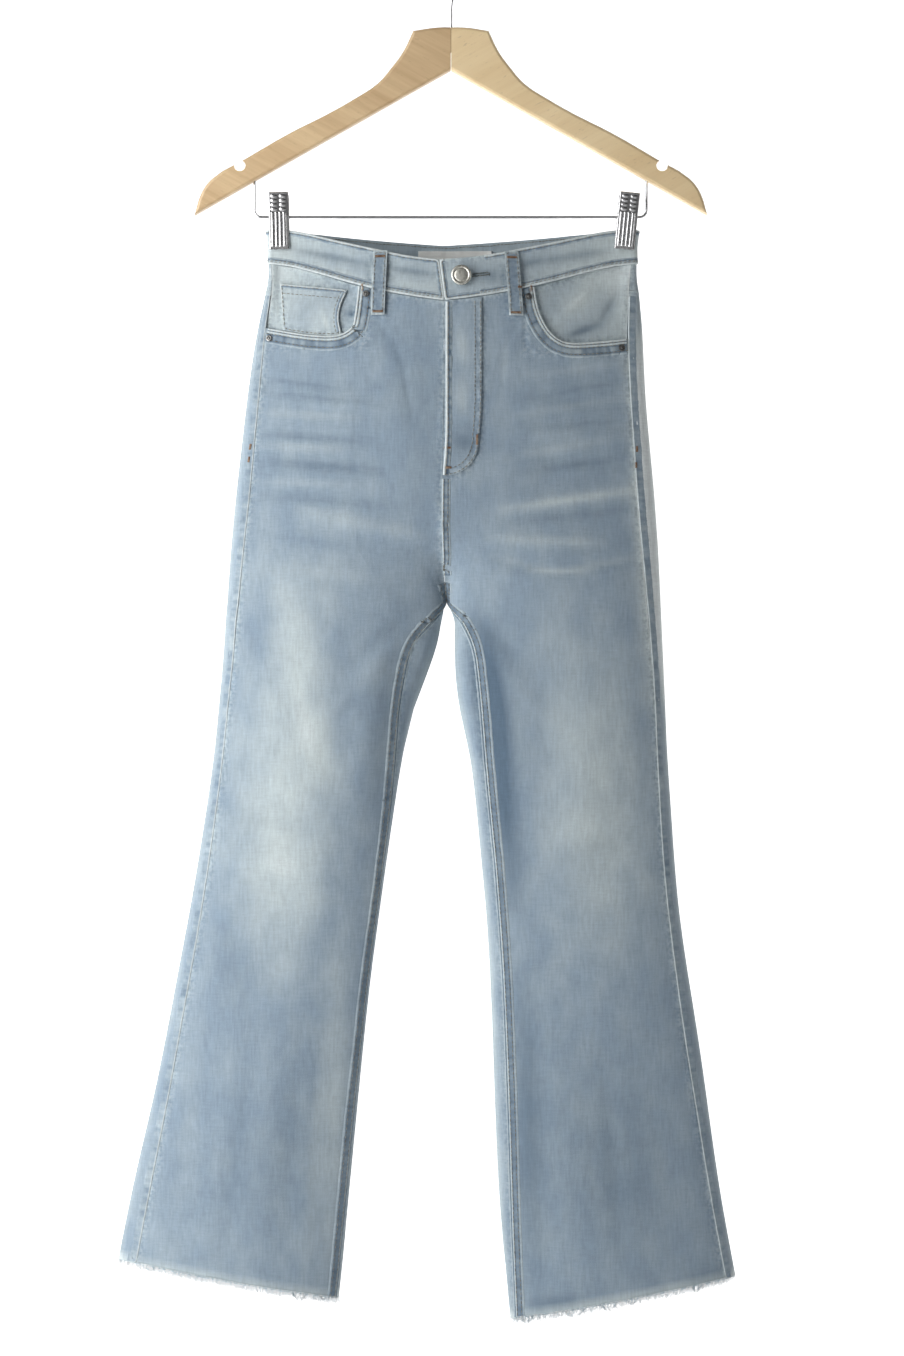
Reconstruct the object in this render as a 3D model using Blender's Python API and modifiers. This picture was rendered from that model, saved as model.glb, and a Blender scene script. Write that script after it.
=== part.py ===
"""High-rise flared jeans with a raw hem, hung by the waist from a wooden clip hanger.

The garment hangs front on: the front faces -Y, the wearer's right leg is at -X, and Z is up.
The origin is the inside top of the hook, where a rail carries the hanger.
Tables give real sizes in millimetres; everything else is in metres.
"""
import math

import bmesh
import bpy
from mathutils import Matrix, Vector

MM = 0.001
SEAM_GAP = 0.0003
CLOTH = 0.0015
LAYER = 0.001
FACING_GAP = 0.0007
POCKET_LAP = 0.0075
WAISTBAND_PROUD = 0.0007
WAISTBAND_WALL = 0.0025
POCKET_LAYER = 0.0012
CROTCH = -0.577
CLEFT_TOP = -0.500

HANGER_THICK = 0.012
HANGER_EDGE = 0.0025
WOOD_TOP = -0.078
HOOK_RADIUS = 0.022
HOOK_WIRE = 0.0015
HOOK_CENTRE = HOOK_WIRE - HOOK_RADIUS
BAR_WIRE = 0.0012
BAR_Z = -0.243
BAR_ENDS = {"right": -0.1714, "left": 0.1706}
BAR_CORNER = 0.006
BAR_TOP = -0.206

CLIP_WIDTH = 0.017
CLIP_TOP = -0.2225
CLIP_BOTTOM = -0.2717
CLIP_PLATE = 0.0012
CLIP_X = {"right": -0.1500, "left": 0.1538}
CLIP_TILT = {"right": -0.02, "left": 0.10}

BUTTON_X, BUTTON_Z, BUTTON_RADIUS = 0.0087, -0.2966, 0.0088
RIVET_RADIUS = 0.0029
LOOP_WIDTH = 0.012
FRAY_COUNT = 36
FRAY_HEIGHT = 0.0012
FRAY_THICK = 0.0008

SIDES = {"right": -1, "left": 1}

# Each leg from waist to hem: height, outer edge, inner edge, outseam and inseam across the front.
# Above the crotch the inner edge is the centre seam and the inseam column repeats it.
LEG_COLUMNS = ("z", "outer", "inner", "outseam", "inseam")
LEGS = {
    "right": (
        (-250, -161, -6, -160, -6), (-272, -160, -6, -158.5, -6), (-294, -159, -6, -156, -6),
        (-315, -163, -6, -157, -6), (-337, -168, -6, -161, -6), (-359, -172, -6, -163, -6),
        (-403, -178, -6, -167, -6), (-446, -183, -7, -171, -7), (-490, -188, -8, -175, -8),
        (-533, -192, -8, -180, -8), (-577, -195, -4, -184, -6), (-599, -197, -9, -187, -28),
        (-621, -198, -12, -188, -36), (-664, -202, -30, -193, -45), (-717, -207, -42, -198, -49),
        (-769, -215, -50, -205, -54), (-821, -223, -58, -212, -61), (-874, -233, -65, -221, -68),
        (-926, -243, -72, -230, -75), (-978, -252, -77, -240, -80), (-1031, -264, -82, -249, -86),
        (-1083, -277, -87, -260, -91), (-1135, -287, -92, -270, -95), (-1188, -298, -98, -279, -101),
        (-1215, -303, -101, -283, -104),
    ),
    "left": (
        (-250, 164, -6, 161, -6), (-272, 163, -6, 159, -6), (-294, 162, -6, 156, -6),
        (-315, 165, -6, 155, -6), (-337, 167, -6, 154, -6), (-359, 168, -6, 154, -6),
        (-403, 170, -6, 156, -6), (-446, 174, -7, 159, -7), (-490, 178, -8, 162, -8),
        (-533, 181, -8, 166, -8), (-577, 183, -4, 170, -2), (-599, 184, 4, 172, 18),
        (-621, 185, 3, 174, 21), (-664, 187, 5, 177, 26), (-717, 189, 18, 179, 30),
        (-769, 193, 23, 182, 35), (-821, 196, 28, 185, 40), (-874, 202, 33, 192, 44),
        (-926, 211, 35, 198, 47), (-978, 219, 37, 206, 49), (-1031, 226, 39, 215, 51),
        (-1083, 233, 40, 223, 52), (-1135, 242, 44, 232, 54), (-1188, 253, 49, 243, 56),
        (-1215, 258, 52, 248, 58),
    ),
}

# How deep the hung cloth stands in front of and behind the middle plane, the half thickness of
# its side folds, and how sharply the bulge fades towards them.
DEPTH_COLUMNS = ("z", "front", "back", "fold", "power")
DEPTHS = (
    (-250, 12, 14, 3.2, 3.8), (-285, 15, 17, 3.5, 3.5), (-330, 19, 24, 5.0, 2.2),
    (-400, 20, 29, 7.0, 1.8), (-480, 20, 29, 8.0, 1.6), (-577, 19, 22, 8.0, 1.6),
    (-700, 19, 20, 8.0, 1.5), (-900, 17, 18, 7.0, 1.5), (-1100, 19, 20, 6.0, 1.5),
    (-1215, 21, 22, 6.0, 1.5),
)

# The waistband's edges round half the waist: 0 is centre front, 1 the side, 2 centre back.
WAIST_COLUMNS = ("round", "top", "bottom")
WAIST = (
    (-0.1, -282, -318), (0.0, -282, -318), (0.17, -278, -312), (0.25, -272.5, -308),
    (0.42, -264.5, -298), (0.57, -257.5, -290), (0.68, -255, -286.5), (1.0, -255, -284),
    (1.38, -256, -289), (1.57, -259, -293), (1.75, -262, -296), (2.0, -266, -300),
)
# Turns round half the waist where its pieces have points, close together at the side fold.
FOLD_TURNS = (0, 0.13, 0.27, 0.41, 0.55, 0.68, 0.79, 0.86, 0.90, 0.935, 0.965, 0.99, 1.01, 1.035,
              1.065, 1.10, 1.14, 1.21, 1.32, 1.46, 1.60, 1.73, 1.84, 1.92, 1.97, 2.0)
YOKE_COLUMNS = ("round", "bottom")
YOKE = ((0.75, -307), (1.0, -309), (1.5, -321), (1.8, -338), (2.0, -352))

# Front pocket mouths, from the waistband round to the outseam.
MOUTH_COLUMNS = ("x", "z")
MOUTHS = {
    "right": ((-81, -300), (-82, -322), (-85, -340), (-92, -346), (-102, -349), (-126, -347),
              (-163, -340)),
    "left": ((73, -300), (75, -323), (80, -336), (87, -347), (96, -353), (105, -355),
             (129, -353), (153, -350)),
}
# The raw hem runs square to each leg: x and z at its inner and outer ends.
HEM_COLUMNS = ("x", "z")
HEMS = {
    "right": ((-97, -1185), (-293, -1150)),
    "left": ((50, -1203), (246, -1166)),
}
# The largest soft folds: a line across the cloth, its depth (inwards is minus) and half width.
FOLD_COLUMNS = ("face", "x1", "z1", "x2", "z2", "depth", "half_width")
FOLDS = (
    ("front", -36, -610, -58, -760, -3.0, 9), ("front", -58, -600, -84, -770, 2.6, 13),
    ("front", 22, -610, 44, -800, -3.4, 9), ("front", 44, -600, 66, -790, 2.6, 13),
    ("front", -150, -640, -118, -800, 2.4, 20), ("front", -120, -720, -160, -880, -2.2, 16),
    ("front", 132, -660, 96, -830, 2.4, 22), ("front", 70, -840, 118, -930, -2.0, 16),
    ("front", -205, -980, -238, -1150, -2.4, 14), ("front", -150, -960, -168, -1150, 2.6, 20),
    ("front", 168, -990, 196, -1160, -2.4, 15), ("front", 96, -980, 108, -1170, 2.6, 20),
    ("front", -140, -430, -40, -452, -1.4, 9), ("front", 30, -468, 140, -446, -1.4, 9),
    ("front", -120, -505, -36, -520, 1.4, 12), ("front", 34, -512, 150, -500, 1.4, 12),
    ("back", -125, -566, -34, -606, -4.0, 12), ("back", 120, -566, 24, -606, -4.0, 12),
    ("back", -140, -608, -44, -646, 3.0, 13), ("back", 136, -610, 36, -648, 3.0, 13),
    ("back", -172, -790, -100, -815, -3.0, 11), ("back", 160, -800, 70, -822, -3.0, 11),
    ("back", -190, -960, -210, -1150, 3.0, 20), ("back", 140, -960, 158, -1160, 3.0, 20),
)
# Belt loops: face, x at the top, x at the bottom, lowest point.
LOOP_COLUMNS = ("name", "face", "x_top", "x_bottom", "z_bottom")
LOOPS = (
    ("front_right", "front", -61, -63.5, -330.5), ("front_left", "front", 52.3, 56.5, -331),
    ("back_right", "back", -96, -96, -310), ("back_left", "back", 90, 90, -310),
    ("back_centre", "back", -6, -6, -321),
)
RIVET_COLUMNS = ("name", "x", "z")
RIVETS = (
    ("right_inner", -73.7, -311.8), ("right_outer", -158.0, -349.5),
    ("left_inner", 67.2, -314.4), ("left_outer", 148.3, -358.0),
)
# Half of the hanger's wooden outline, from the middle of the top round to the underside.
ARM_COLUMNS = ("x", "z", "corner")
ARM = (
    (33, -81, True), (41.4, -98.7, False), (52.4, -113.8, False), (64, -127, False),
    (82, -139, False), (109, -154.3, False), (139, -169.3, False), (180, -193, False),
    (208, -209.7, False), (217.3, -221.8, False), (223.5, -241.5, True),
)
UNDERSIDE_Z = -0.1152
STRAP_NOTCH = {"x": 0.184, "z": -0.1985, "radius": 0.005}

COLOURS = {
    "denim": ((0.34, 0.46, 0.58), 0.85, 0.0),
    "fray": ((0.74, 0.79, 0.82), 0.9, 0.0),
    "label": ((0.86, 0.86, 0.84), 0.7, 0.0),
    "nickel": ((0.62, 0.60, 0.57), 0.35, 1.0),
    "wood": ((0.72, 0.52, 0.33), 0.45, 0.0),
    "steel": ((0.66, 0.66, 0.67), 0.25, 1.0),
}


def column(table, names, name):
    index = names.index(name)
    return [row[index] for row in table]


def smooth(table, names, key, name, value):
    """Read one column of a table at a key, on a smooth curve through its rows."""
    keys = column(table, names, key)
    values = column(table, names, name)
    if keys[0] > keys[-1]:
        keys, values = keys[::-1], values[::-1]
    value = min(max(value, keys[0]), keys[-1])
    i = max(j for j in range(len(keys) - 1) if keys[j] <= value)
    span = keys[i + 1] - keys[i]
    share = (value - keys[i]) / span

    def slope(j):
        low, high = max(j - 1, 0), min(j + 1, len(keys) - 1)
        return (values[high] - values[low]) / (keys[high] - keys[low])

    cube, square = share ** 3, share ** 2
    return (values[i] * (2 * cube - 3 * square + 1) + values[i + 1] * (3 * square - 2 * cube)
            + span * (slope(i) * (cube - 2 * square + share) + slope(i + 1) * (cube - square)))


def straight(table, names, key, name, value):
    """Read one column of a table at a key, on straight lines between its rows."""
    pairs = sorted(zip(column(table, names, key), column(table, names, name)))
    value = min(max(value, pairs[0][0]), pairs[-1][0])
    for (x1, y1), (x2, y2) in zip(pairs, pairs[1:]):
        if value <= x2:
            return y1 + (y2 - y1) * (value - x1) / (x2 - x1)
    return pairs[-1][1]


def ease(share):
    share = min(max(share, 0.0), 1.0)
    return share * share * (3 - 2 * share)


def mix(a, b, share):
    return a + (b - a) * share


def leg(side, name, z):
    if name == "inner" and z > CROTCH:
        return straight(LEGS[side], LEG_COLUMNS, "z", name, z / MM) * MM
    return smooth(LEGS[side], LEG_COLUMNS, "z", name, z / MM) * MM


def depth(name, z):
    return smooth(DEPTHS, DEPTH_COLUMNS, "z", name, z / MM)


def reach(z):
    """Half the angle that one side's section turns through: a half ring above, a tube below."""
    return math.pi / 2 * (1 + ease((CLEFT_TOP - z) / (CLEFT_TOP - CROTCH)))


def section(side, z):
    """Middle and half width of the oval that one side's section lies on, at one height."""
    outer, inner = leg(side, "outer", z), leg(side, "inner", z)
    half = (outer - inner) / (1 - math.cos(reach(z)))
    return outer - half, half


def fold_depth(face, x, z):
    """How far the largest folds move the cloth outwards at one place."""
    total = 0.0
    for row in FOLDS:
        fold = dict(zip(FOLD_COLUMNS, row))
        if fold["face"] != face:
            continue
        start = Vector((fold["x1"], fold["z1"])) * MM
        run = Vector((fold["x2"], fold["z2"])) * MM - start
        place = Vector((x, z)) - start
        share = min(max(place.dot(run) / run.length_squared, 0.0), 1.0)
        away = (place - run * share).length / (fold["half_width"] * MM)
        total += fold["depth"] * MM * math.exp(-away * away) * math.sin(math.pi * (share * 0.8 + 0.1))
    return total


def surface(side, turn, z):
    """A point on the outer face of the cloth. Turn is 0 at centre front or inseam, 1 at the
    outer fold and 2 at centre back."""
    middle, half = section(side, z)
    angle = reach(z) * (1 - turn)
    sine, cosine = math.sin(angle), math.cos(angle)
    face = "front" if sine >= 0 else "back"
    x = middle + half * cosine
    radius = depth("fold", z) * MM
    from_tip = min(abs(half) * (1 - abs(cosine)) / radius, 1.0)
    fold = radius * math.sqrt(1 - (1 - from_tip) ** 2)
    bulge = depth(face, z) * MM * abs(sine) ** depth("power", z)
    bulge += fold_depth(face, x, z) * abs(sine) ** 0.8
    return Vector((x, math.copysign(fold + bulge, -sine), z))


def cloth(side, turn, z, out):
    """A point of the cloth, moved out of its outer face by the given distance."""
    step_turn, step_z = 0.004, 0.001
    across = surface(side, turn + step_turn, z) - surface(side, turn - step_turn, z)
    down = surface(side, turn, z - step_z) - surface(side, turn, z + step_z)
    normal = across.cross(down).normalized()
    if side == "right":
        normal.negate()
    return surface(side, turn, z) - normal * out


def nudge(side, turn, z, distance):
    """Turn moved along the section by a distance."""
    step = 0.01
    speed = (surface(side, turn + step, z) - surface(side, turn - step, z)).length / (2 * step)
    return turn + distance / speed


def turn_at(side, x, z, face="front"):
    """The turn at which one side's section reaches x on its front or back."""
    middle, half = section(side, z)
    angle = math.acos(min(max((x - middle) / half, -1.0), 1.0))
    return 1 - angle / reach(z) if face == "front" else 1 + angle / reach(z)


def cloth_at(face, x, z, out):
    """A point of the cloth by its place in the front or back view."""
    side = "left" if x > leg("left", "inner", z) else "right"
    return cloth(side, turn_at(side, x, z, face), z, out)


def normal_at(face, x, z):
    return (cloth_at(face, x, z, 0.001) - cloth_at(face, x, z, 0.0)).normalized()


def outseam(side, z):
    return turn_at(side, leg(side, "outseam", z), z)


def inseam(side, z):
    if z >= CROTCH:
        return 0.0
    return turn_at(side, leg(side, "inseam", z), z) * ease((CROTCH - z) / 0.03)


def waist(name, turn):
    return smooth(WAIST, WAIST_COLUMNS, "round", name, turn) * MM


def yoke_edge(turn):
    return smooth(YOKE, YOKE_COLUMNS, "round", "bottom", turn) * MM


def mouth_edge(side, x):
    return straight(MOUTHS[side], MOUTH_COLUMNS, "x", "z", x / MM) * MM


def hem_edge(side, turn):
    """Height of the raw hem at one turn round the leg."""
    (x1, z1), (x2, z2) = HEMS[side]
    z = z1 * MM
    for _ in range(4):
        x = surface(side, turn, z).x / MM
        z = mix(z1, z2, (x - x1) / (x2 - x1)) * MM
    return z


def material(name):
    found = bpy.data.materials.get(name)
    if found:
        return found
    colour, roughness, metallic = COLOURS[name]
    made = bpy.data.materials.new(name)
    made.use_nodes = True
    shader = made.node_tree.nodes["Principled BSDF"]
    shader.inputs["Base Color"].default_value = (*colour, 1.0)
    shader.inputs["Roughness"].default_value = roughness
    shader.inputs["Metallic"].default_value = metallic
    made.diffuse_color = (*colour, 1.0)
    return made


def add_object(name, mesh, finish, parts):
    made = bpy.data.objects.new(name, mesh)
    mesh.materials.append(material(finish))
    parts.objects.link(made)
    return made


def finish_mesh(shape, name, angle=40):
    bmesh.ops.recalc_face_normals(shape, faces=shape.faces)
    mesh = bpy.data.meshes.new(name)
    shape.to_mesh(mesh)
    shape.free()
    mesh.shade_smooth()
    mesh.set_sharp_from_angle(angle=math.radians(angle))
    return mesh


def even(count):
    return [i / count for i in range(count + 1)]


def add_wall(name, columns, rows, place, finish, parts):
    """A wall of cloth: a flat grid is doubled, and place(across, down, inside) sets each point."""
    shape = bmesh.new()
    wide, tall = len(columns) - 1, len(rows) - 1
    bmesh.ops.create_grid(shape, x_segments=wide, y_segments=tall, size=0.5)
    doubled = bmesh.ops.extrude_face_region(shape, geom=list(shape.faces), use_keep_orig=True)
    inside = {item for item in doubled["geom"] if isinstance(item, bmesh.types.BMVert)}
    for vert in shape.verts:
        across = columns[round((vert.co.x + 0.5) * wide)]
        down = rows[round((0.5 - vert.co.y) * tall)]
        vert.co = place(across, down, vert in inside)
    return add_object(name, finish_mesh(shape, name), finish, parts)


def seam_inset(side, seam, z):
    """Half the gap at a seam, measured across the cloth, wider where the seam leans and where
    the seams meet at the crotch."""
    step = 0.003
    near_crotch = math.exp(-((z - CROTCH + 0.014) / 0.018) ** 2)
    lean = (surface(side, seam(z - step), z - step).x - surface(side, seam(z + step), z + step).x)
    return SEAM_GAP / 2 * math.hypot(1, lean / (2 * step)) * (1 + 1.5 * near_crotch)


def flat_layers(outer, inner):
    return lambda turn, z: (outer, inner)


def add_panel(name, side, columns, rows, edges, lines, parts, layers=flat_layers(0.0, -CLOTH)):
    """A cut piece between two seams (turns by height) and a stack of lines across it (heights
    by share). A row's whole part counts the lines above it."""
    start, end = edges

    def place(across, down, inside):
        line = min(int(down), len(lines) - 2)
        z = mix(lines[line](across), lines[line + 1](across), down - line)
        first = nudge(side, start(z), z, seam_inset(side, start, z))
        last = nudge(side, end(z), z, -seam_inset(side, end, z))
        turn = mix(first, last, across)
        return cloth(side, turn, z, layers(turn, z)[inside])

    return add_wall(name, columns, rows, place, "denim", parts)


def crotch_line(share):
    return CROTCH


def leg_rows(upper):
    """Rows from the top edge to the crotch, then down the leg, closer together near the crotch.
    All four panels share the lower rows, so that their seams meet."""
    return even(upper) + [1 + share ** 1.8 for share in even(14)[1:]]


def back_shares(side):
    """Columns of the back pieces: the waistband's own turns from the outseam to centre back."""
    start = outseam(side, waist("bottom", 1.0))
    turns = [turn for turn in FOLD_TURNS if turn > start + 0.01]
    return [0.0] + [(turn - start) / (2 - start) for turn in turns]


def settle_edge(side, edges, share, edge, guess):
    """Height of an edge given by turn, at one share between two seams."""
    z = guess
    for _ in range(4):
        z = edge(mix(edges[0](z), edges[1](z), share))
    return z


def add_front_panel(side, parts):
    edges = (lambda z: inseam(side, z)), (lambda z: outseam(side, z))
    corners = []
    for x, z in MOUTHS[side][:-1]:
        turn = turn_at(side, x * MM, z * MM)
        corners.append((turn - edges[0](z * MM)) / (edges[1](z * MM) - edges[0](z * MM)))
    waist_share = corners[0]

    def top(share):
        if share < waist_share - 0.001:
            return settle_edge(side, edges, share, lambda t: waist("bottom", t), -0.30) - SEAM_GAP
        z = -0.34
        for _ in range(4):
            x = surface(side, mix(edges[0](z), edges[1](z), share), z).x
            z = mouth_edge(side, x)
        if share < waist_share + 0.001:
            turn = mix(edges[0](z), edges[1](z), share)
            return waist("bottom", turn) - SEAM_GAP
        return z

    def bottom(share):
        return settle_edge(side, edges, share, lambda t: hem_edge(side, t), -1.18)

    inner = [waist_share * share for share in even(6)]
    last = corners[-1]
    outer = corners[1:] + [mix(last, 1, 0.4), mix(last, 1, 0.7), mix(last, 1, 0.88), 1.0]
    lines = (top, crotch_line, bottom)
    add_panel(f"front_panel_{side}", side, inner + outer, leg_rows(8), edges, lines, parts)


def add_back_panel(side, parts):
    edges = (lambda z: outseam(side, z)), (lambda z: 2 + inseam(side, z))

    def top(share):
        return settle_edge(side, edges, share, yoke_edge, -0.32) - SEAM_GAP

    def bottom(share):
        return settle_edge(side, edges, share, lambda t: hem_edge(side, t), -1.18)

    lines = (top, crotch_line, bottom)
    columns = back_shares(side)
    add_panel(f"back_panel_{side}", side, columns, leg_rows(9), edges, lines, parts)


def add_yoke(side, parts):
    edges = (lambda z: outseam(side, z)), (lambda z: 2.0)

    def top(share):
        return settle_edge(side, edges, share, lambda t: waist("bottom", t), -0.29) - SEAM_GAP

    def bottom(share):
        return settle_edge(side, edges, share, yoke_edge, -0.32)

    columns = back_shares(side)
    add_panel(f"back_yoke_{side}", side, columns, even(3), edges, (top, bottom), parts)


def tab_edge(z):
    """The free end of the waistband, on the wearer's left, a little past the centre."""
    return mix(-0.0100, -0.0052, (-0.282 - z) / 0.036)


def add_waistband(parts):
    layers = (WAISTBAND_PROUD, WAISTBAND_PROUD - WAISTBAND_WALL)
    crease = (0.0, -0.0003, -0.0011, -0.0003, 0.0)
    rows = even(4)
    around = [("left", turn) for turn in FOLD_TURNS]
    around += [("right", turn) for turn in reversed(FOLD_TURNS[:-1])]

    def place(across, down, inside):
        side, turn = around[across]
        z = mix(waist("top", turn), waist("bottom", turn), down)
        if turn == 0:
            limit = tab_edge(z) if side == "left" else tab_edge(z) - SEAM_GAP
            turn = turn_at(side, limit, z)
        pressed = crease[rows.index(down)] * ease(turn / 0.4) * ease((1.6 - turn) / 0.4)
        return cloth(side, turn, z, layers[inside] + pressed)

    add_wall("waistband", range(len(around)), rows, place, "denim", parts)


def add_patch(name, face, columns, rows, frame, layers, finish, parts):
    """A piece that lies on the cloth. Frame(across, down) gives its x and z."""
    def place(across, down, inside):
        x, z = frame(across, down)
        out = layers(down)[inside]
        return cloth_at(face, x, z, out)

    return add_wall(name, columns, rows, place, finish, parts)


def add_fly(parts):
    """The wearer's left front laps over the right one, as far as the curved stitching."""
    width, length, turn_in = 0.031, 0.152, 0.030
    top_z = -0.3185

    def frame(across, down):
        left = -0.0045 if down < 0.8 else mix(-0.0045, -0.0070, (down - 0.8) / 0.2)
        round_off = turn_in * (1 - math.sqrt(max(1 - across ** 2.2, 0.0)))
        bottom = top_z - length + round_off
        return left + width * across, mix(top_z + 0.003 * across, bottom, down)

    columns = [0, 0.25, 0.5, 0.7, 0.84, 0.93, 0.98, 1.0]
    layers = (SEAM_GAP + LAYER, SEAM_GAP)
    add_patch("fly_overlap", "front", columns, even(8), frame, lambda down: layers, "denim", parts)


def add_pocket_facing(side, parts):
    """The cloth seen inside a front pocket's mouth, under the front panel."""
    sign = SIDES[side]
    mouth_x = MOUTHS[side][0][0] * MM
    lowest = min(column(MOUTHS[side], MOUTH_COLUMNS, "z")) * MM
    edges = (lambda z: turn_at(side, mouth_x - sign * POCKET_LAP, z)), (lambda z: outseam(side, z))

    def top(share):
        return settle_edge(side, edges, share, lambda t: waist("bottom", t), -0.30) - SEAM_GAP

    def bottom(share):
        return lowest - POCKET_LAP

    def layers(turn, z):
        near_seam = ease((turn - outseam(side, z) + 0.12) / 0.10) * ease((z + 0.338) / 0.016)
        outer = mix(-CLOTH - FACING_GAP, -SEAM_GAP, near_seam)
        return outer, outer - LAYER

    name = f"pocket_facing_{side}"
    columns = [0, 0.15, 0.3, 0.45, 0.6, 0.72, 0.82, 0.9, 0.95, 1.0]
    add_panel(name, side, columns, even(6), edges, (top, bottom), parts, layers)


def add_coin_pocket(parts):
    def frame(across, down):
        left = mix(-0.1490, -0.1460, down)
        right = -0.0900 - 0.0080 * math.sin(math.pi * down * 0.8)
        x = mix(left, right, across)
        top = mix(-0.3014, -0.3080, across)
        return x, mix(top, mouth_edge("right", x) + 0.0007, down)

    layers = (-SEAM_GAP - 0.0002, -CLOTH)
    add_patch("coin_pocket", "front", even(7), even(5), frame, lambda down: layers, "denim", parts)


def add_belt_loop(row, parts):
    loop = dict(zip(LOOP_COLUMNS, row))
    side = "left" if loop["x_top"] > 0 else "right"
    start_z = -0.26
    for _ in range(4):
        start_z = waist("top", turn_at(side, loop["x_top"] * MM, start_z, loop["face"]))

    def frame(across, down):
        x = mix(loop["x_top"], loop["x_bottom"], down) * MM + (across - 0.5) * LOOP_WIDTH
        return x, mix(start_z - 0.0005, loop["z_bottom"] * MM, down)

    def layers(down):
        under = WAISTBAND_PROUD + SEAM_GAP + 0.0008 * math.sin(math.pi * down)
        under = mix(under, 2 * SEAM_GAP, ease((down - 0.72) / 0.2))
        return under + POCKET_LAYER, under

    name = f"belt_loop_{loop['name']}"
    add_patch(name, loop["face"], even(2), even(9), frame, layers, "denim", parts)


def add_back_pocket(side, parts):
    sign = SIDES[side]
    middle = -0.087 if side == "right" else 0.078
    top_width, low_width, height, point = 0.128, 0.108, 0.120, 0.022

    def frame(across, down):
        width = mix(top_width, low_width, down)
        swing = 2 * across - 1
        x = middle + swing * width / 2
        top = -0.357 + 0.005 * swing * sign
        drop = height + point * (1 - abs(swing))
        return x, top - drop * down

    layers = (SEAM_GAP + POCKET_LAYER, SEAM_GAP)
    add_patch(f"back_pocket_{side}", "back", even(8), even(7), frame, lambda down: layers,
              "denim", parts)


def add_label(parts):
    """The blank tape stitched inside the back of the waistband."""
    inner = WAISTBAND_PROUD - WAISTBAND_WALL - SEAM_GAP

    def frame(across, down):
        return mix(-0.0288, 0.0358, across), mix(-0.2705, -0.2955, down)

    layers = (inner, inner - LAYER)
    add_patch("label", "back", even(6), even(3), frame, lambda down: layers, "label", parts)


def add_turned(name, profile, centre, axis, steps, finish, parts):
    """A turned piece from (radius, height) pairs, its height running along the axis."""
    mesh = bpy.data.meshes.new(name)
    points = [(radius, 0, height) for radius, height in profile]
    mesh.from_pydata(points, [(i, i + 1) for i in range(len(points) - 1)], [])
    made = add_object(name, mesh, finish, parts)
    screw = made.modifiers.new("turn", "SCREW")
    screw.steps = screw.render_steps = steps
    screw.use_merge_vertices = True
    screw.merge_threshold = 0.00001
    screw.use_smooth_shade = True
    turned = axis.to_track_quat("Z", "Y").to_matrix().to_4x4()
    made.matrix_world = Matrix.Translation(centre) @ turned
    return made


def add_button(parts):
    axis = normal_at("front", BUTTON_X, BUTTON_Z)
    seat = cloth_at("front", BUTTON_X, BUTTON_Z, WAISTBAND_PROUD + SEAM_GAP)
    r = BUTTON_RADIUS
    profile = ((0, 0.0034), (r * 0.52, 0.0032), (r * 0.64, 0.0028), (r * 0.74, 0.0031),
               (r * 0.92, 0.0030), (r, 0.0022), (r * 0.96, 0.0013), (r * 0.4, 0.0011),
               (r * 0.4, 0.0), (0, 0.0))
    add_turned("button", profile, seat, axis, 22, "nickel", parts)


def add_rivet(row, parts):
    rivet = dict(zip(RIVET_COLUMNS, row))
    x, z = rivet["x"] * MM, rivet["z"] * MM
    seat = cloth_at("front", x, z, SEAM_GAP)
    r = RIVET_RADIUS
    profile = ((0, 0.0009), (r * 0.30, 0.0014), (r * 0.55, 0.0010), (r * 0.85, 0.0011),
               (r, 0.0005), (r, 0.0), (0, 0.0))
    name = f"rivet_{rivet['name']}"
    add_turned(name, profile, seat, normal_at("front", x, z), 14, "nickel", parts)


def add_hem_fray(side, parts):
    """Loose white threads under the raw hem, rooted in a narrow strip parted from the cloth."""
    ring_count = 2 * FRAY_COUNT
    shape = bmesh.new()
    rings = []
    for i in range(ring_count):
        turn = 2 * i / ring_count
        z = hem_edge(side, turn) - SEAM_GAP
        outer, inner = -(CLOTH - FRAY_THICK) / 2, -(CLOTH + FRAY_THICK) / 2
        corners = ((outer, 0), (inner, 0), (inner, -FRAY_HEIGHT), (outer, -FRAY_HEIGHT))
        rings.append([shape.verts.new(cloth(side, turn, z + drop, out)) for out, drop in corners])
    strand_roots = []
    for i, ring in enumerate(rings):
        after = rings[(i + 1) % ring_count]
        for j in range(4):
            k = (j + 1) % 4
            face = shape.faces.new((ring[j], ring[k], after[k], after[j]))
            if j == 2 and i % 2 == 0:
                strand_roots.append(face)
    for i, face in enumerate(strand_roots):
        length = 0.0032 + 0.0013 * math.sin(i * 2.4) + 0.0008 * math.sin(i * 5.1 + 1)
        sway = Vector((0.0012 * math.sin(i * 1.7), 0.0006 * math.sin(i * 3.1), 0))
        for part, size in ((0.55, 0.6), (0.45, 0.5)):
            made = bmesh.ops.extrude_discrete_faces(shape, faces=[face])
            face = made["faces"][0]
            middle = face.calc_center_median()
            for vert in face.verts:
                vert.co = middle + (vert.co - middle) * size
                vert.co += Vector((0, 0, -length * part)) + sway * part
    name = f"hem_fray_{side}"
    add_object(name, finish_mesh(shape, name), "fray", parts)


def add_guide(name, mesh, guides):
    """A cutter: a mesh that the build leaves out."""
    made = bpy.data.objects.new(name, mesh)
    guides.objects.link(made)
    made.hide_render = True
    made.display_type = "WIRE"
    return made


def add_cutter(name, radius, length, centre, axis, guides):
    """A round cutter, its axis along Y or Z."""
    shape = bmesh.new()
    bmesh.ops.create_cone(shape, cap_ends=True, segments=20, radius1=radius, radius2=radius,
                          depth=length)
    if axis == "Y":
        bmesh.ops.rotate(shape, cent=(0, 0, 0), matrix=Matrix.Rotation(math.pi / 2, 3, "X"),
                         verts=shape.verts)
    bmesh.ops.translate(shape, vec=centre, verts=shape.verts)
    mesh = bpy.data.meshes.new(name)
    shape.to_mesh(mesh)
    shape.free()
    return add_guide(name, mesh, guides)


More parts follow.
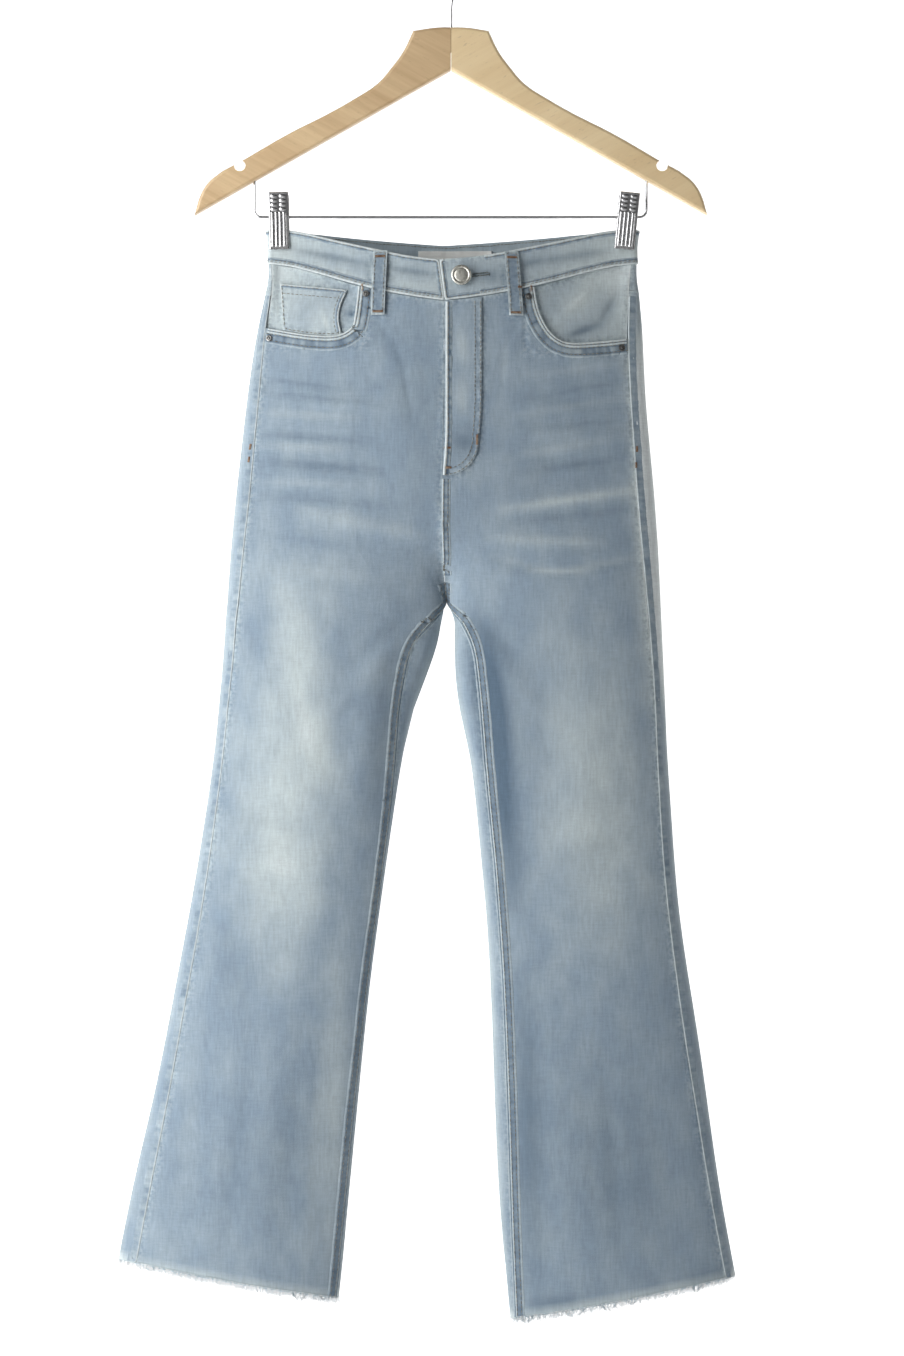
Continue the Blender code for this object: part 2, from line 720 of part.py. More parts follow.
def curve_to_mesh(curve_object, name):
    """The closed mesh of a curve object, its caps welded."""
    bpy.context.view_layer.update()
    evaluated = curve_object.evaluated_get(bpy.context.evaluated_depsgraph_get())
    mesh = bpy.data.meshes.new_from_object(evaluated)
    bpy.data.objects.remove(curve_object)
    shape = bmesh.new()
    shape.from_mesh(mesh)
    bmesh.ops.remove_doubles(shape, verts=shape.verts, dist=0.00001)
    return shape


def add_hanger_arm(side, parts, guides):
    """One half of the wooden hanger, glued to the other along the middle."""
    sign = SIDES[side]
    curve = bpy.data.curves.new("arm", "CURVE")
    curve.dimensions = "2D"
    curve.fill_mode = "BOTH"
    curve.extrude = HANGER_THICK / 2 - HANGER_EDGE
    curve.bevel_depth = HANGER_EDGE
    curve.bevel_resolution = 1
    curve.offset = -HANGER_EDGE
    curve.resolution_u = 3
    past_middle = -0.006
    inner = [(past_middle, WOOD_TOP, True), (0.012, WOOD_TOP, False)]
    outline = inner + [(x * MM, z * MM, corner) for x, z, corner in ARM]
    outline.append((past_middle, UNDERSIDE_Z + 0.0034, True))
    spline = curve.splines.new("BEZIER")
    spline.bezier_points.add(len(outline) - 1)
    for point, (x, z, corner) in zip(spline.bezier_points, outline):
        point.co = (x, z, 0)
        handle = "VECTOR" if corner else "AUTO"
        point.handle_left_type = point.handle_right_type = handle
    spline.use_cyclic_u = True
    drawn = bpy.data.objects.new("arm", curve)
    parts.objects.link(drawn)
    shape = curve_to_mesh(drawn, "arm")
    bmesh.ops.rotate(shape, cent=(0, 0, 0), matrix=Matrix.Rotation(math.pi / 2, 3, "X"),
                     verts=shape.verts)
    cut = bmesh.ops.bisect_plane(shape, geom=list(shape.verts) + list(shape.edges)
                                 + list(shape.faces), plane_co=(SEAM_GAP / 2, 0, 0),
                                 plane_no=(1, 0, 0), clear_inner=True, dist=0.000001)
    rim = [item for item in cut["geom_cut"] if isinstance(item, bmesh.types.BMEdge)]
    bmesh.ops.contextual_create(shape, geom=rim)
    if sign < 0:
        bmesh.ops.scale(shape, vec=(-1, 1, 1), verts=shape.verts)
    name = f"hanger_arm_{side}"
    arm = add_object(name, finish_mesh(shape, name, 35), "wood", parts)
    notch = STRAP_NOTCH
    cutters = [
        add_cutter(f"notch_{side}", notch["radius"], 0.03, (sign * notch["x"], 0, notch["z"]),
                   "Y", guides),
        add_cutter(f"bar_hole_{side}", BAR_WIRE + SEAM_GAP, 0.03,
                   (BAR_ENDS[side], 0, BAR_TOP - 0.0145), "Z", guides),
        add_cutter(f"hook_hole_{side}", HOOK_WIRE + SEAM_GAP, 0.06,
                   (0, 0, WOOD_TOP + 0.008), "Z", guides),
    ]
    for cutter in cutters:
        cutting = arm.modifiers.new(cutter.name, "BOOLEAN")
        cutting.operation = "DIFFERENCE"
        cutting.solver = "EXACT"
        cutting.object = cutter


def add_wire(name, points, radius, finish, parts):
    curve = bpy.data.curves.new(name, "CURVE")
    curve.dimensions = "3D"
    curve.bevel_depth = radius
    curve.bevel_resolution = 2
    curve.use_fill_caps = True
    spline = curve.splines.new("POLY")
    spline.points.add(len(points) - 1)
    for point, place in zip(spline.points, points):
        point.co = (*place, 1)
    made = bpy.data.objects.new(name, curve)
    curve.materials.append(material(finish))
    parts.objects.link(made)
    return made


def add_hook(parts):
    points = []
    start, end, steps = math.radians(200), math.radians(-50), 20
    for i in range(steps + 1):
        angle = mix(start, end, i / steps)
        points.append((HOOK_RADIUS * math.cos(angle), 0,
                       HOOK_CENTRE + HOOK_RADIUS * math.sin(angle)))
    first = Vector(points[-1])
    leave = Vector((math.sin(end), 0, -math.cos(end))) * 0.011
    last = Vector((0, 0, -0.060))
    arrive = Vector((0, 0, 0.011))
    for i in range(1, 7):
        s = i / 6
        bend = (first * (1 - s) ** 3 + (first + leave) * 3 * s * (1 - s) ** 2
                + (last + arrive) * 3 * s * s * (1 - s) + last * s ** 3)
        points.append(tuple(bend))
    points.append((0, 0, WOOD_TOP - 0.0215))
    add_wire("hanger_hook", points, HOOK_WIRE, "steel", parts)


def add_bar(parts):
    points = [(BAR_ENDS["right"], 0, BAR_TOP)]
    for i in range(5):
        angle = math.pi + i * math.pi / 8
        points.append((BAR_ENDS["right"] + BAR_CORNER + BAR_CORNER * math.cos(angle), 0,
                       BAR_Z + BAR_CORNER + BAR_CORNER * math.sin(angle)))
    for i in range(5):
        angle = 1.5 * math.pi + i * math.pi / 8
        points.append((BAR_ENDS["left"] - BAR_CORNER + BAR_CORNER * math.cos(angle), 0,
                       BAR_Z + BAR_CORNER + BAR_CORNER * math.sin(angle)))
    points.append((BAR_ENDS["left"], 0, BAR_TOP))
    add_wire("hanger_bar", points, BAR_WIRE, "steel", parts)


# A clip plate's side view: height down from its top and distance from the middle plane.
PLATE_COLUMNS = ("drop", "away")
PLATE = ((0, 9.0), (9, 7.4), (19, 5.7), (24, 5.4), (32, 5.5), (44, 5.6), (49.2, 5.9))


def add_clip_plate(side, facing, parts):
    """A pressed steel jaw with raised grips, which pinches both layers of the waistband."""
    name = f"clip_{side}_{'front' if facing < 0 else 'back'}"
    turn = Matrix.Rotation(CLIP_TILT[side], 4, "Y")
    pivot = Vector((CLIP_X[side], 0, BAR_Z))
    ridge = 0.0006

    def place(across, down, inside):
        drop = down * (CLIP_TOP - CLIP_BOTTOM)
        away = smooth(PLATE, PLATE_COLUMNS, "drop", "away", drop / MM) * MM
        on_ridge = round(across * 14) % 4 in (2, 3) and 0.42 < down < 0.97
        proud = CLIP_PLATE + (ridge if on_ridge else 0.0)
        y = facing * (away + (0.0 if inside else proud))
        x = (across - 0.5) * CLIP_WIDTH
        flat = Vector((x, y, CLIP_TOP - BAR_Z - drop))
        return pivot + turn @ flat

    columns = [0, 0.08, 0.15, 0.21, 0.29, 0.35, 0.43, 0.5, 0.57, 0.65, 0.71, 0.79, 0.85, 0.92, 1.0]
    rows = [0, 0.2, 0.4, 0.44, 0.7, 0.96, 1.0]
    add_wall(name, columns, rows, place, "steel", parts)


def add_clip_spring(side, parts):
    """The coil spring round the bar, between the two jaws, as one sleeve."""
    inner, outer, half = BAR_WIRE + SEAM_GAP, 0.0052, 0.005
    profile = ((outer, half), (outer, -half), (inner, -half), (inner, half), (outer, half))
    centre = Vector((CLIP_X[side], 0, BAR_Z))
    add_turned(f"clip_{side}_spring", profile, centre, Vector((1, 0, 0)), 16, "steel", parts)


def clear_scene():
    for old in list(bpy.data.objects):
        bpy.data.objects.remove(old, do_unlink=True)


def main():
    clear_scene()
    parts = bpy.data.collections.new("jeans_on_clip_hanger")
    guides = bpy.data.collections.new("cutters")
    bpy.context.scene.collection.children.link(parts)
    bpy.context.scene.collection.children.link(guides)
    for side in SIDES:
        add_front_panel(side, parts)
        add_back_panel(side, parts)
        add_yoke(side, parts)
        add_pocket_facing(side, parts)
        add_back_pocket(side, parts)
        add_hem_fray(side, parts)
        add_hanger_arm(side, parts, guides)
        add_clip_plate(side, -1, parts)
        add_clip_plate(side, 1, parts)
        add_clip_spring(side, parts)
    add_waistband(parts)
    add_fly(parts)
    add_coin_pocket(parts)
    add_label(parts)
    add_button(parts)
    for row in LOOPS:
        add_belt_loop(row, parts)
    for row in RIVETS:
        add_rivet(row, parts)
    add_hook(parts)
    add_bar(parts)


main()
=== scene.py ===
"""Looks of a pair of flared light-wash jeans on a wooden clip hanger.

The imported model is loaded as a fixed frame. Each cloth piece is a fine shell on its solid's form,
with creases, fades, seams and stitches. The front faces -Y, and the wearer's right leg is at -X.
Sizes are in metres, or in millimetres where the comment above them says mm.
"""
import math
import random

import bmesh
import bpy
import numpy as np
from mathutils import Matrix, Vector, noise
from mathutils.bvhtree import BVHTree
from mathutils.kdtree import KDTree


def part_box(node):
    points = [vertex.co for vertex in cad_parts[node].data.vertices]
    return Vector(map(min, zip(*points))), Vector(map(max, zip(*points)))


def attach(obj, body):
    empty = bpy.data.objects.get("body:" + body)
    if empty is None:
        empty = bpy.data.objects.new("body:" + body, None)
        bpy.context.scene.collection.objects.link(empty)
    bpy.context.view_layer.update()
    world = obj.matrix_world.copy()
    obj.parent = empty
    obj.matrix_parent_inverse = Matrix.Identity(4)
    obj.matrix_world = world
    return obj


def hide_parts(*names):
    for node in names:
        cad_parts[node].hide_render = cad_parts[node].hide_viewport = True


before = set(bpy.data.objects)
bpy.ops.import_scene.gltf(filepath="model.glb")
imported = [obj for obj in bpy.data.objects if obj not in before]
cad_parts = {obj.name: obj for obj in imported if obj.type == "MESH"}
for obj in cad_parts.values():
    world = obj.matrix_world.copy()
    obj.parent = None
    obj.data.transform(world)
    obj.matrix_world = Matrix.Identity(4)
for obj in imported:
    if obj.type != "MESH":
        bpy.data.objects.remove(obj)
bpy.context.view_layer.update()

bl_info = {
    "name": "Flared jeans on a clip hanger",
    "version": (1, 0, 0),
    "blender": (4, 5, 0),
    "location": "3D View > Sidebar > Jeans",
    "description": "Dresses the solids of a hung pair of jeans with cloth, seams and stitches",
    "category": "Object",
}

MM = 0.001
BODY = "root"
SIDES = ("right", "left")

# Cloth shells: node, subdivision levels, flat cut width, length and area in mm, and what holds it.
CLOTH_COLUMNS = ("node", "levels", "width", "length", "area", "rests_on")
CLOTHS = (
    ("waistband", 3, 660, 36, 23000,
     ("clip_right_front", "clip_right_back", "clip_left_front", "clip_left_back")),
    ("front_panel_right", 3, 225, 925, 140000, ("waistband",)),
    ("front_panel_left", 3, 225, 930, 142000, ("waistband",)),
    ("back_yoke_right", 2, 170, 62, 6400, ("waistband",)),
    ("back_yoke_left", 2, 172, 64, 6900, ("waistband",)),
    ("back_panel_right", 3, 300, 900, 183000, ("back_yoke_right",)),
    ("back_panel_left", 3, 305, 915, 194000, ("back_yoke_left",)),
    ("pocket_facing_right", 3, 92, 74, 5700, ("waistband",)),
    ("pocket_facing_left", 3, 96, 78, 6300, ("waistband",)),
    ("coin_pocket", 2, 60, 46, 2350, ("pocket_facing_right",)),
    ("fly_overlap", 3, 36, 158, 4700, ("front_panel_left",)),
    ("back_pocket_right", 2, 130, 148, 15900, ("back_panel_right",)),
    ("back_pocket_left", 2, 130, 148, 15900, ("back_panel_left",)),
    ("belt_loop_front_right", 2, 12, 60, 720, ("waistband",)),
    ("belt_loop_front_left", 2, 12, 60, 720, ("waistband",)),
    ("belt_loop_back_right", 2, 12, 56, 670, ("waistband",)),
    ("belt_loop_back_left", 2, 12, 56, 670, ("waistband",)),
    ("belt_loop_back_centre", 2, 12, 58, 690, ("waistband",)),
    ("label", 3, 66, 24, 1550, ("waistband",)),
)
BELT_LOOPS = tuple(row[0] for row in CLOTHS if "belt_loop" in row[0])
DOUBLE_CLOTH = ("waistband", "fly_overlap", *BELT_LOOPS)
# Each leg's raw hem in mm, from its inseam to its outseam, as x and z.
HEMS = {
    "right": ((-97, -1185), (-293, -1150)),
    "left": ((50, -1203), (246, -1166)),
}
# How near the hem a cut edge counts as raw, and the height given to cloth on neither leg.
HEM_REACH = 0.004
FAR = 1.0
# Points nearer than this are one. A cut edge's face has more than this many walls behind it.
WELD = 0.00002
THICK_ALLOWED = 1.35
RIM_ANGLE = math.radians(40)
OUTER, INNER, EDGE = range(3)
# The fork in mm. Long thin faces meet there, and are evened out over this reach in metres.
CROTCH = (-6, -22, -560)
EVEN_REACH = 0.045
EVEN_ROUNDS = 30
EVEN_STEP = 0.6

# The finest creases that show, in mm: a line, its depth (minus is inwards) and half width.
STROKE_COLUMNS = ("x1", "z1", "x2", "z2", "depth", "half_width")
CREASES = {
    "front": (
        # Waistband, pockets, fly and the sides of the hips.
        (-137, -269, -67, -285, -0.9, 3.2), (-55, -288, -10, -295, -0.7, 3.0),
        (61, -286, 78, -282, -0.7, 3.0), (78, -282, 108, -279, -0.8, 3.0),
        (108, -279, 138, -272, -0.8, 3.2), (-69, -331, -49, -355, -0.5, 2.6),
        (-49, -355, -40, -381, -0.5, 2.6), (-40, -381, -34, -420, -0.5, 2.8),
        (60, -333, 47, -359, -0.4, 2.6), (47, -359, 43, -395, -0.4, 2.8),
        (147, -307, 130, -337, -0.8, 3.0), (130, -337, 108, -346, -0.8, 3.0),
        (121, -307, 95, -333, 0.8, 4.0),
        # Whiskers over the hips and lines under the fly.
        (-158, -457, -62, -464, -1.0, 6.0), (-132, -501, -10, -525, 1.2, 7.0),
        (-140, -389, -44, -390, -0.6, 5.0), (-146, -405, -60, -408, 0.9, 5.0),
        (43, -498, 165, -481, 1.4, 6.0), (34, -523, 78, -529, 1.2, 5.0),
        (78, -529, 130, -525, 1.2, 5.0), (34, -542, 91, -553, -1.3, 6.0),
        (91, -553, 165, -542, -1.3, 6.0), (82, -363, 152, -372, 0.8, 5.0),
        (60, -400, 150, -410, -0.8, 5.0), (50, -432, 160, -434, 0.9, 6.0),
        (-150, -434, -70, -441, -0.8, 5.0), (-160, -483, -50, -492, -1.0, 6.0),
        (60, -455, 160, -460, -1.0, 6.0),
        # Thighs, knees, calves and hems.
        (-28, -585, -96, -640, -0.8, 7.0), (-34, -606, -120, -690, 0.9, 8.0),
        (14, -585, 66, -632, -0.8, 7.0), (18, -606, 92, -690, 0.9, 8.0),
        (-190, -760, -120, -776, -0.9, 8.0), (-196, -800, -110, -812, 0.9, 9.0),
        (176, -780, 100, -800, -0.9, 8.0), (184, -822, 110, -842, 0.9, 9.0),
        (-172, -960, -196, -1150, -0.9, 9.0), (-122, -950, -130, -1165, 0.8, 9.0),
        (132, -960, 150, -1160, -0.9, 9.0), (66, -960, 74, -1180, 0.8, 8.0),
    ),
    "back": (
        (-150, -330, -60, -345, -0.7, 6.0), (150, -330, 60, -345, -0.7, 6.0),
        (-30, -470, -120, -548, -1.4, 8.0), (24, -470, 118, -546, -1.4, 8.0),
        (-20, -540, -110, -588, 1.4, 8.0), (14, -540, 104, -590, 1.4, 8.0),
        (-180, -770, -90, -778, 1.3, 8.0), (170, -776, 80, -786, 1.3, 8.0),
        (-186, -838, -100, -826, -1.2, 8.0), (176, -846, 84, -834, -1.2, 8.0),
        (-200, -900, -210, -1120, -1.0, 10), (150, -900, 176, -1120, -1.0, 10),
        (-70, -620, -90, -740, 1.0, 9.0), (44, -620, 60, -740, 1.0, 9.0),
    ),
}
# Where the cloth is paler (more than 0) or darker (less): a line in mm, its strength and half width.
# Most strokes are fades and whiskers of the denim; some are painted light and shade, marked below.
FADE_AND_SHADING_STROKES = {
    "front": (
        # Waistband, pockets, fly and the sides of the hips.
        # Painted shade beside the fly: the first stroke below.
        (-26, -330, -24, -520, -0.26, 15), (9.5, -345, 9.5, -372, 0.55, 6),
        # Painted highlight on the side of the hip at +X, which the lamps leave dark: the first
        # stroke below.
        (164, -350, 184, -660, 1.8, 13), (-190, -380, -206, -560, 0.25, 8),
        (10, -385, 10, -415, 0.45, 6), (12, -432, 10, -450, -0.6, 11),
        # Painted shade along the edge of the pocket bag: both strokes below.
        (-50, -345, -38, -430, -0.24, 6), (-66, -338, -50, -370, -0.22, 6),
        (49, -350, 42, -410, 0.22, 4), (60, -345, 54, -370, -0.18, 5),
        (-106, -335, -112, -337, 0.45, 12), (-86, -325, -88, -333, -0.8, 5),
        (120, -308, 96, -332, 0.35, 9), (147, -307, 130, -337, -0.35, 6),
        (130, -338, 100, -348, -0.6, 4), (-140, -272, -67, -286, -0.4, 4),
        (-55, -289, -12, -295, -0.4, 4), (61, -286, 78, -282, -0.4, 4),
        (78, -282, 140, -272, -0.4, 4), (24, -296, 44, -296, -0.45, 6),
        (-120, -286, -70, -300, 0.3, 4), (80, -294, 130, -286, 0.3, 4),
        # Painted shadows beside the belt loops: the last stroke below and all strokes on the next
        # two lines.
        (-50, -303, -14, -307, 0.3, 4), (-70.5, -280, -73, -325, -0.5, 2.2),
        (-54.5, -282, -56, -322, -0.4, 2.0), (44.5, -282, 48, -324, -0.4, 2.0),
        (60.5, -282, 64.5, -322, -0.5, 2.2),
        # Whiskers over the hips and lines under the fly.
        (-160, -386, -90, -396, -0.28, 2.5), (-164, -398, -60, -409, -0.32, 2.6),
        (-166, -414, -80, -420, 0.32, 3.5), (-168, -433, -64, -440, -0.36, 3.2),
        (64, -552, 122, -553, 0.5, 3), (-170, -443, -90, -447, 0.28, 3.5),
        (-162, -457, -60, -466, -0.4, 4), (-172, -474, -80, -478, 0.28, 4),
        (-160, -488, -40, -498, -0.24, 3.5), (-132, -499, -14, -524, 0.24, 7),
        (-168, -520, -70, -534, -0.2, 4), (-160, -548, -60, -560, 0.12, 6),
        (43, -500, 165, -481, 0.6, 4), (34, -524, 130, -528, 0.36, 4),
        (34, -540, 91, -554, 0.26, 3), (91, -554, 172, -538, 0.34, 3),
        (44, -512, 160, -498, -0.28, 3.5), (50, -470, 160, -452, -0.28, 3),
        (44, -455, 150, -436, 0.28, 4), (60, -432, 164, -418, -0.24, 2.6),
        (56, -418, 160, -400, 0.24, 3.5), (62, -404, 164, -384, -0.28, 2.6),
        (60, -384, 160, -370, 0.2, 3.5),
        # Thighs, knees, calves and hems.
        (-132, -585, -154, -880, 0.74, 40), (-116, -500, -126, -600, 0.1, 34),
        (-104, -600, -94, -690, -0.2, 13), (-148, -560, -128, -664, 0.36, 14),
        (-128, -664, -106, -740, 0.4, 14), (-176, -590, -164, -650, -0.3, 14),
        (-196, -850, -180, -930, -0.3, 18), (117, -640, 134, -862, 0.7, 44),
        (98, -575, 112, -700, 0.1, 32), (96, -770, 130, -780, 0.25, 18),
        (-158, -760, -146, -880, 0.26, 24), (-132, -790, -128, -850, 0.2, 14),
        # Painted shade on the inner thighs: both strokes below and the first stroke on the next
        # line.
        (-62, -600, -64, -760, -0.16, 12), (34, -600, 54, -840, -1.1, 14),
        # Painted light on the inner side of the calf at -X, which the lamps leave dark: the second
        # stroke below.
        (20, -590, 36, -700, -0.6, 12), (-98, -900, -106, -1170, 0.5, 13),
        (70, -1190, 132, -1173, -0.6, 3.0), (198, -1168, 234, -1161, -0.6, 2.6),
        (64, -1199, 236, -1169, 0.1, 4), (-284, -1146, -104, -1178, 0.12, 4),
        (62, -900, 70, -1180, -0.6, 12), (-150, -1000, -190, -1120, -0.2, 34),
        (-128, -930, -136, -1130, -0.12, 16), (130, -1000, 150, -1140, -0.26, 38),
        (84, -950, 96, -1150, -0.12, 16), (-112, -960, -124, -1150, 0.22, 6),
    ),
    "back": (
        (-80, -400, -82, -470, 0.5, 44), (76, -400, 78, -470, 0.5, 44),
        (-126, -600, -136, -780, 0.4, 38), (110, -600, 118, -780, 0.4, 38),
        (-120, -566, -34, -606, -0.4, 9), (116, -566, 24, -606, -0.4, 9),
        (-180, -790, -100, -815, -0.35, 7), (170, -800, 80, -822, -0.35, 7),
    ),
}
# How strong a stroke is at its ends, and how far from a side fold the creases reach full depth.
STROKE_ENDS = 0.35
SIDE_FADE = 0.009
# The fade that some pieces have all over.
PALE_PIECES = {"waistband": 0.46, "coin_pocket": 0.46, "pocket_facing_right": 0.42,
               "pocket_facing_left": 0.50}
# Paleness of the even cloth; of crease ridges, worn and with a painted highlight; painted shade in
# crease troughs; and strength and reach along folds and edges.
EVEN_FADE = 0.08
RIDGE_FADE_AND_HIGHLIGHT = 0.08
TROUGH_SHADE = 0.10
# Along the side folds the cloth is paler with wear and a painted highlight.
SIDE_WEAR_AND_HIGHLIGHT, SIDE_REACH = 0.55, 0.013
HEM_PALE, HEM_PALE_REACH = 0.80, 0.0020
EDGE_PALE, EDGE_REACH = 0.30, 0.0013
LOOP_PALE, LOOP_REACH = 0.60, 0.0016
LOOP_DEEP, LOOP_DEEP_REACH = 0.30, 0.0026
POCKET_PALE, POCKET_REACH = 0.70, 0.0020
POCKET_DEEP, POCKET_DEEP_INSET, POCKET_DEEP_REACH = 0.60, 0.0045, 0.0014
ROPING_REACH = 0.005
INSIDE_WASH = (0.45, 0.0, 0.0)
DOUBLE_INSIDE_WASH = (0.44, 0.0, 0.0)
# From which paleness the cloth turns white, over what range, and how far: the white of worn seam
# ridges, partly a painted highlight.
WHITE_FROM = 0.85
WHITE_RANGE = 0.5
WHITE_SHARE = 0.85

# Lines along a piece's cut edge: node, start, end and a place passed on the way, each in mm.
EDGES = {
    "mouth_right": ("front_panel_right", (-81, -18, -302), (-160, -8, -341), (-95, -18, -348)),
    "mouth_left": ("front_panel_left", (73, -18, -302), (154, -8, -350), (95, -18, -353)),
    "coin_top": ("coin_pocket", (-149, -8, -303), (-90, -16, -310), (-120, -12, -305)),
    "coin_side": ("coin_pocket", (-90, -16, -310), (-96, -16, -346), (-92, -16, -330)),
    "coin_outer": ("coin_pocket", (-149, -8, -303), (-145, -10, -340), (-147, -9, -320)),
    "coin_foot": ("coin_pocket", (-145, -10, -341), (-96, -16, -346), (-120, -14, -344)),
    "fly": ("fly_overlap", (-7, -25, -316), (-7, -25, -470), (-7, -25, -400)),
    "fly_curve": ("fly_overlap", (27, -25, -316), (-7, -25, -470), (27, -25, -400)),
    "rise": ("front_panel_left", (-6, -24, -474), (-5, -22, -562), (-7, -22, -520)),
    "inseam_right": ("back_panel_right", (-12, -8, -584), (-102, -10, -1186), (-54, -8, -800)),
    "inseam_left": ("back_panel_left", (4, -8, -584), (57, -10, -1204), (37, -8, -800)),
    "front_inseam_right": ("front_panel_right", (-9, -20, -570), (-100, -10, -1184),
                           (-54, -10, -800)),
    "front_inseam_left": ("front_panel_left", (-2, -22, -568), (57, -10, -1202), (37, -10, -800)),
    "outseam_right": ("back_panel_right", (-158, -6, -310), (-281, -8, -1150), (-208, -8, -800)),
    "outseam_left": ("back_panel_left", (154, -6, -310), (244, -8, -1166), (184, -8, -800)),
    "waist_top": ("waistband", (-6, -20, -282), (27, -20, -281), (0, 20, -266)),
    "waist_foot": ("waistband", (-6, -20, -317), (27, -20, -316), (0, 24, -300)),
    "yoke_right": ("back_yoke_right", (-152, 6, -309), (-7, 26, -351), (-90, 20, -325)),
    "yoke_left": ("back_yoke_left", (150, 6, -309), (-5, 26, -351), (90, 20, -325)),
    "seat": ("back_panel_left", (-6, 28, -354), (-6, 26, -560), (-6, 30, -450)),
    "seat_yoke": ("back_yoke_left", (-6, 22, -304), (-6, 26, -350), (-6, 24, -330)),
}
# Raised seam bands: inset and height in mm, and how pale, deep and puckered each line is. The pale
# ridges are worn with a painted highlight; the deep grooves are painted shade.
BAND_COLUMNS = ("inset", "height", "fade_and_highlight", "deep", "pucker")
BANDS = {
    "mouth": ((-0.2, 0.1, 0.7, 0.1, 0.1), (0.5, 0.75, 1.2, 0.0, 0.1), (1.4, 0.70, 1.0, 0.0, 0.1),
              (2.2, 0.20, 0.0, 1.0, 0.1), (3.1, 0.65, 1.1, 0.0, 0.1), (4.1, 0.50, 0.8, 0.0, 0.4),
              (5.0, 0.20, 0.0, 0.7, 0.6), (6.5, 0.35, 0.2, 0.2, 1.3), (9.0, 0.35, 0.2, 0.2, 1.3),
              (10.8, 0.10, 0.0, 0.7, 0.5), (12.4, 0.20, 0.5, 0.0, 0.7),
              (14.0, -0.15, 0.2, 0.0, 0.0)),
    "waist_top": ((-0.2, 0.2, 0.9, 0.0, 0.1), (0.6, 0.5, 1.3, 0.0, 0.1), (1.6, 0.4, 0.9, 0.0, 0.4),
                  (2.4, 0.10, 0.0, 0.6, 0.6), (3.6, 0.15, 0.3, 0.0, 0.8),
                  (5.5, -0.15, 0.2, 0.0, 0.0)),
    "waist_foot": ((-0.2, 0.2, 0.9, 0.2, 0.1), (0.6, 0.5, 1.2, 0.0, 0.2), (1.8, 0.4, 0.8, 0.0, 0.4),
                   (3.2, 0.3, 0.4, 0.0, 0.8), (4.0, 0.10, 0.0, 0.6, 0.6),
                   (5.4, 0.15, 0.5, 0.0, 0.9), (7.0, -0.15, 0.3, 0.0, 0.0)),
    "fly": ((-0.2, 0.2, 0.5, 0.3, 0.2), (0.6, 0.8, 1.3, 0.0, 0.1), (1.7, 0.7, 1.1, 0.0, 0.3),
            (2.6, 0.2, 0.0, 0.9, 0.9), (4.6, 0.3, 0.4, 0.3, 1.4), (6.6, -0.15, 0.3, 0.0, 0.0)),
    "felled": ((-0.2, 0.3, 0.4, 0.4, 0.1), (0.6, 0.8, 1.0, 0.0, 0.2), (1.7, 0.3, 0.0, 0.7, 0.5),
               (3.6, 0.50, 0.3, 0.2, 1.2), (5.6, 0.3, 0.0, 0.7, 0.6), (6.5, 0.45, 0.7, 0.0, 0.4),
               (7.8, -0.15, 0.1, 0.1, 0.0)),
    "rolled": ((-0.3, 0.1, 0.6, 0.1, 0.1), (0.4, 0.65, 1.2, 0.0, 0.1), (1.2, 0.5, 0.9, 0.0, 0.3),
               (2.0, 0.1, 0.0, 0.7, 0.4), (3.2, 0.2, 0.4, 0.0, 0.5), (4.4, -0.15, 0.3, 0.0, 0.0)),
    "strip": ((-0.2, 0.2, 0.7, 0.1, 0.0), (0.5, 0.7, 0.9, 0.0, 0.1), (1.6, 0.3, 0.0, 0.5, 0.4),
              (3.6, 0.45, 0.1, 0.45, 0.7), (5.8, 0.3, 0.0, 0.5, 0.5), (6.8, 0.3, 0.5, 0.0, 0.3),
              (9.0, -0.15, 0.25, 0.0, 0.0)),
    "joined": ((-0.2, -0.1, 0.0, 0.9, 0.0), (0.7, 0.1, 0.0, 0.8, 0.1), (1.6, 0.2, 0.45, 0.0, 0.2),
               (3.4, -0.15, 0.3, 0.0, 0.0)),
    "pressed": ((-0.2, 0.15, 0.6, 0.0, 0.0), (0.4, 0.40, 1.1, 0.0, 0.1), (1.3, 0.25, 0.3, 0.2, 0.7),
                (3.0, 0.15, 0.2, 0.1, 1.0), (6.0, 0.10, 0.2, 0.1, 0.6),
                (9.0, -0.15, 0.2, 0.0, 0.0)),
}
# Which line has which band, and the insets in mm of the stitch rows on it.
SEAMS = (
    ("mouth_right", "mouth", (2.2, 5.0, 10.8)), ("mouth_left", "mouth", (2.2, 5.0, 10.8)),
    ("waist_top", "waist_top", (2.4,)), ("waist_foot", "waist_foot", (4.0,)),
    ("fly", "fly", (2.6,)), ("rise", "felled", (1.7, 5.6)),
    ("inseam_right", "joined", ()), ("inseam_left", "joined", ()),
    ("outseam_right", "pressed", ()), ("outseam_left", "pressed", ()),
    ("front_inseam_right", "strip", (1.6, 5.8)), ("front_inseam_left", "strip", (1.6, 5.8)),
    ("yoke_right", "felled", (1.7, 5.6)), ("yoke_left", "felled", (1.7, 5.6)),
    ("seat", "felled", (1.7, 5.6)), ("seat_yoke", "felled", (1.7, 5.6)),
    ("coin_top", "rolled", (2.0, 8.6)), ("coin_side", "rolled", (2.0, 4.8)),
)
# Steps in metres along a seam and over the cloth, and how deep a band reaches under it.
BAND_STEP = 0.0015
WALK_STEP = 0.0020
BAND_UNDER = 0.0004
# Pucker: pitch, reach from a seam, shares of the pitch, and what its waves do to cloth and band.
PUCKER_PITCH = 0.009
PUCKER_REACH = 0.0055
PUCKER_END = 2.5
CLOTH_WAVE, CLOTH_WAVE_RISE = 0.62, 2.2
BAND_WAVE, BAND_WAVE_RISE = 0.45, 0.45
WAVE_PALE, WAVE_DEEP = 0.30, 0.35
BAND_ROPING = 0.3

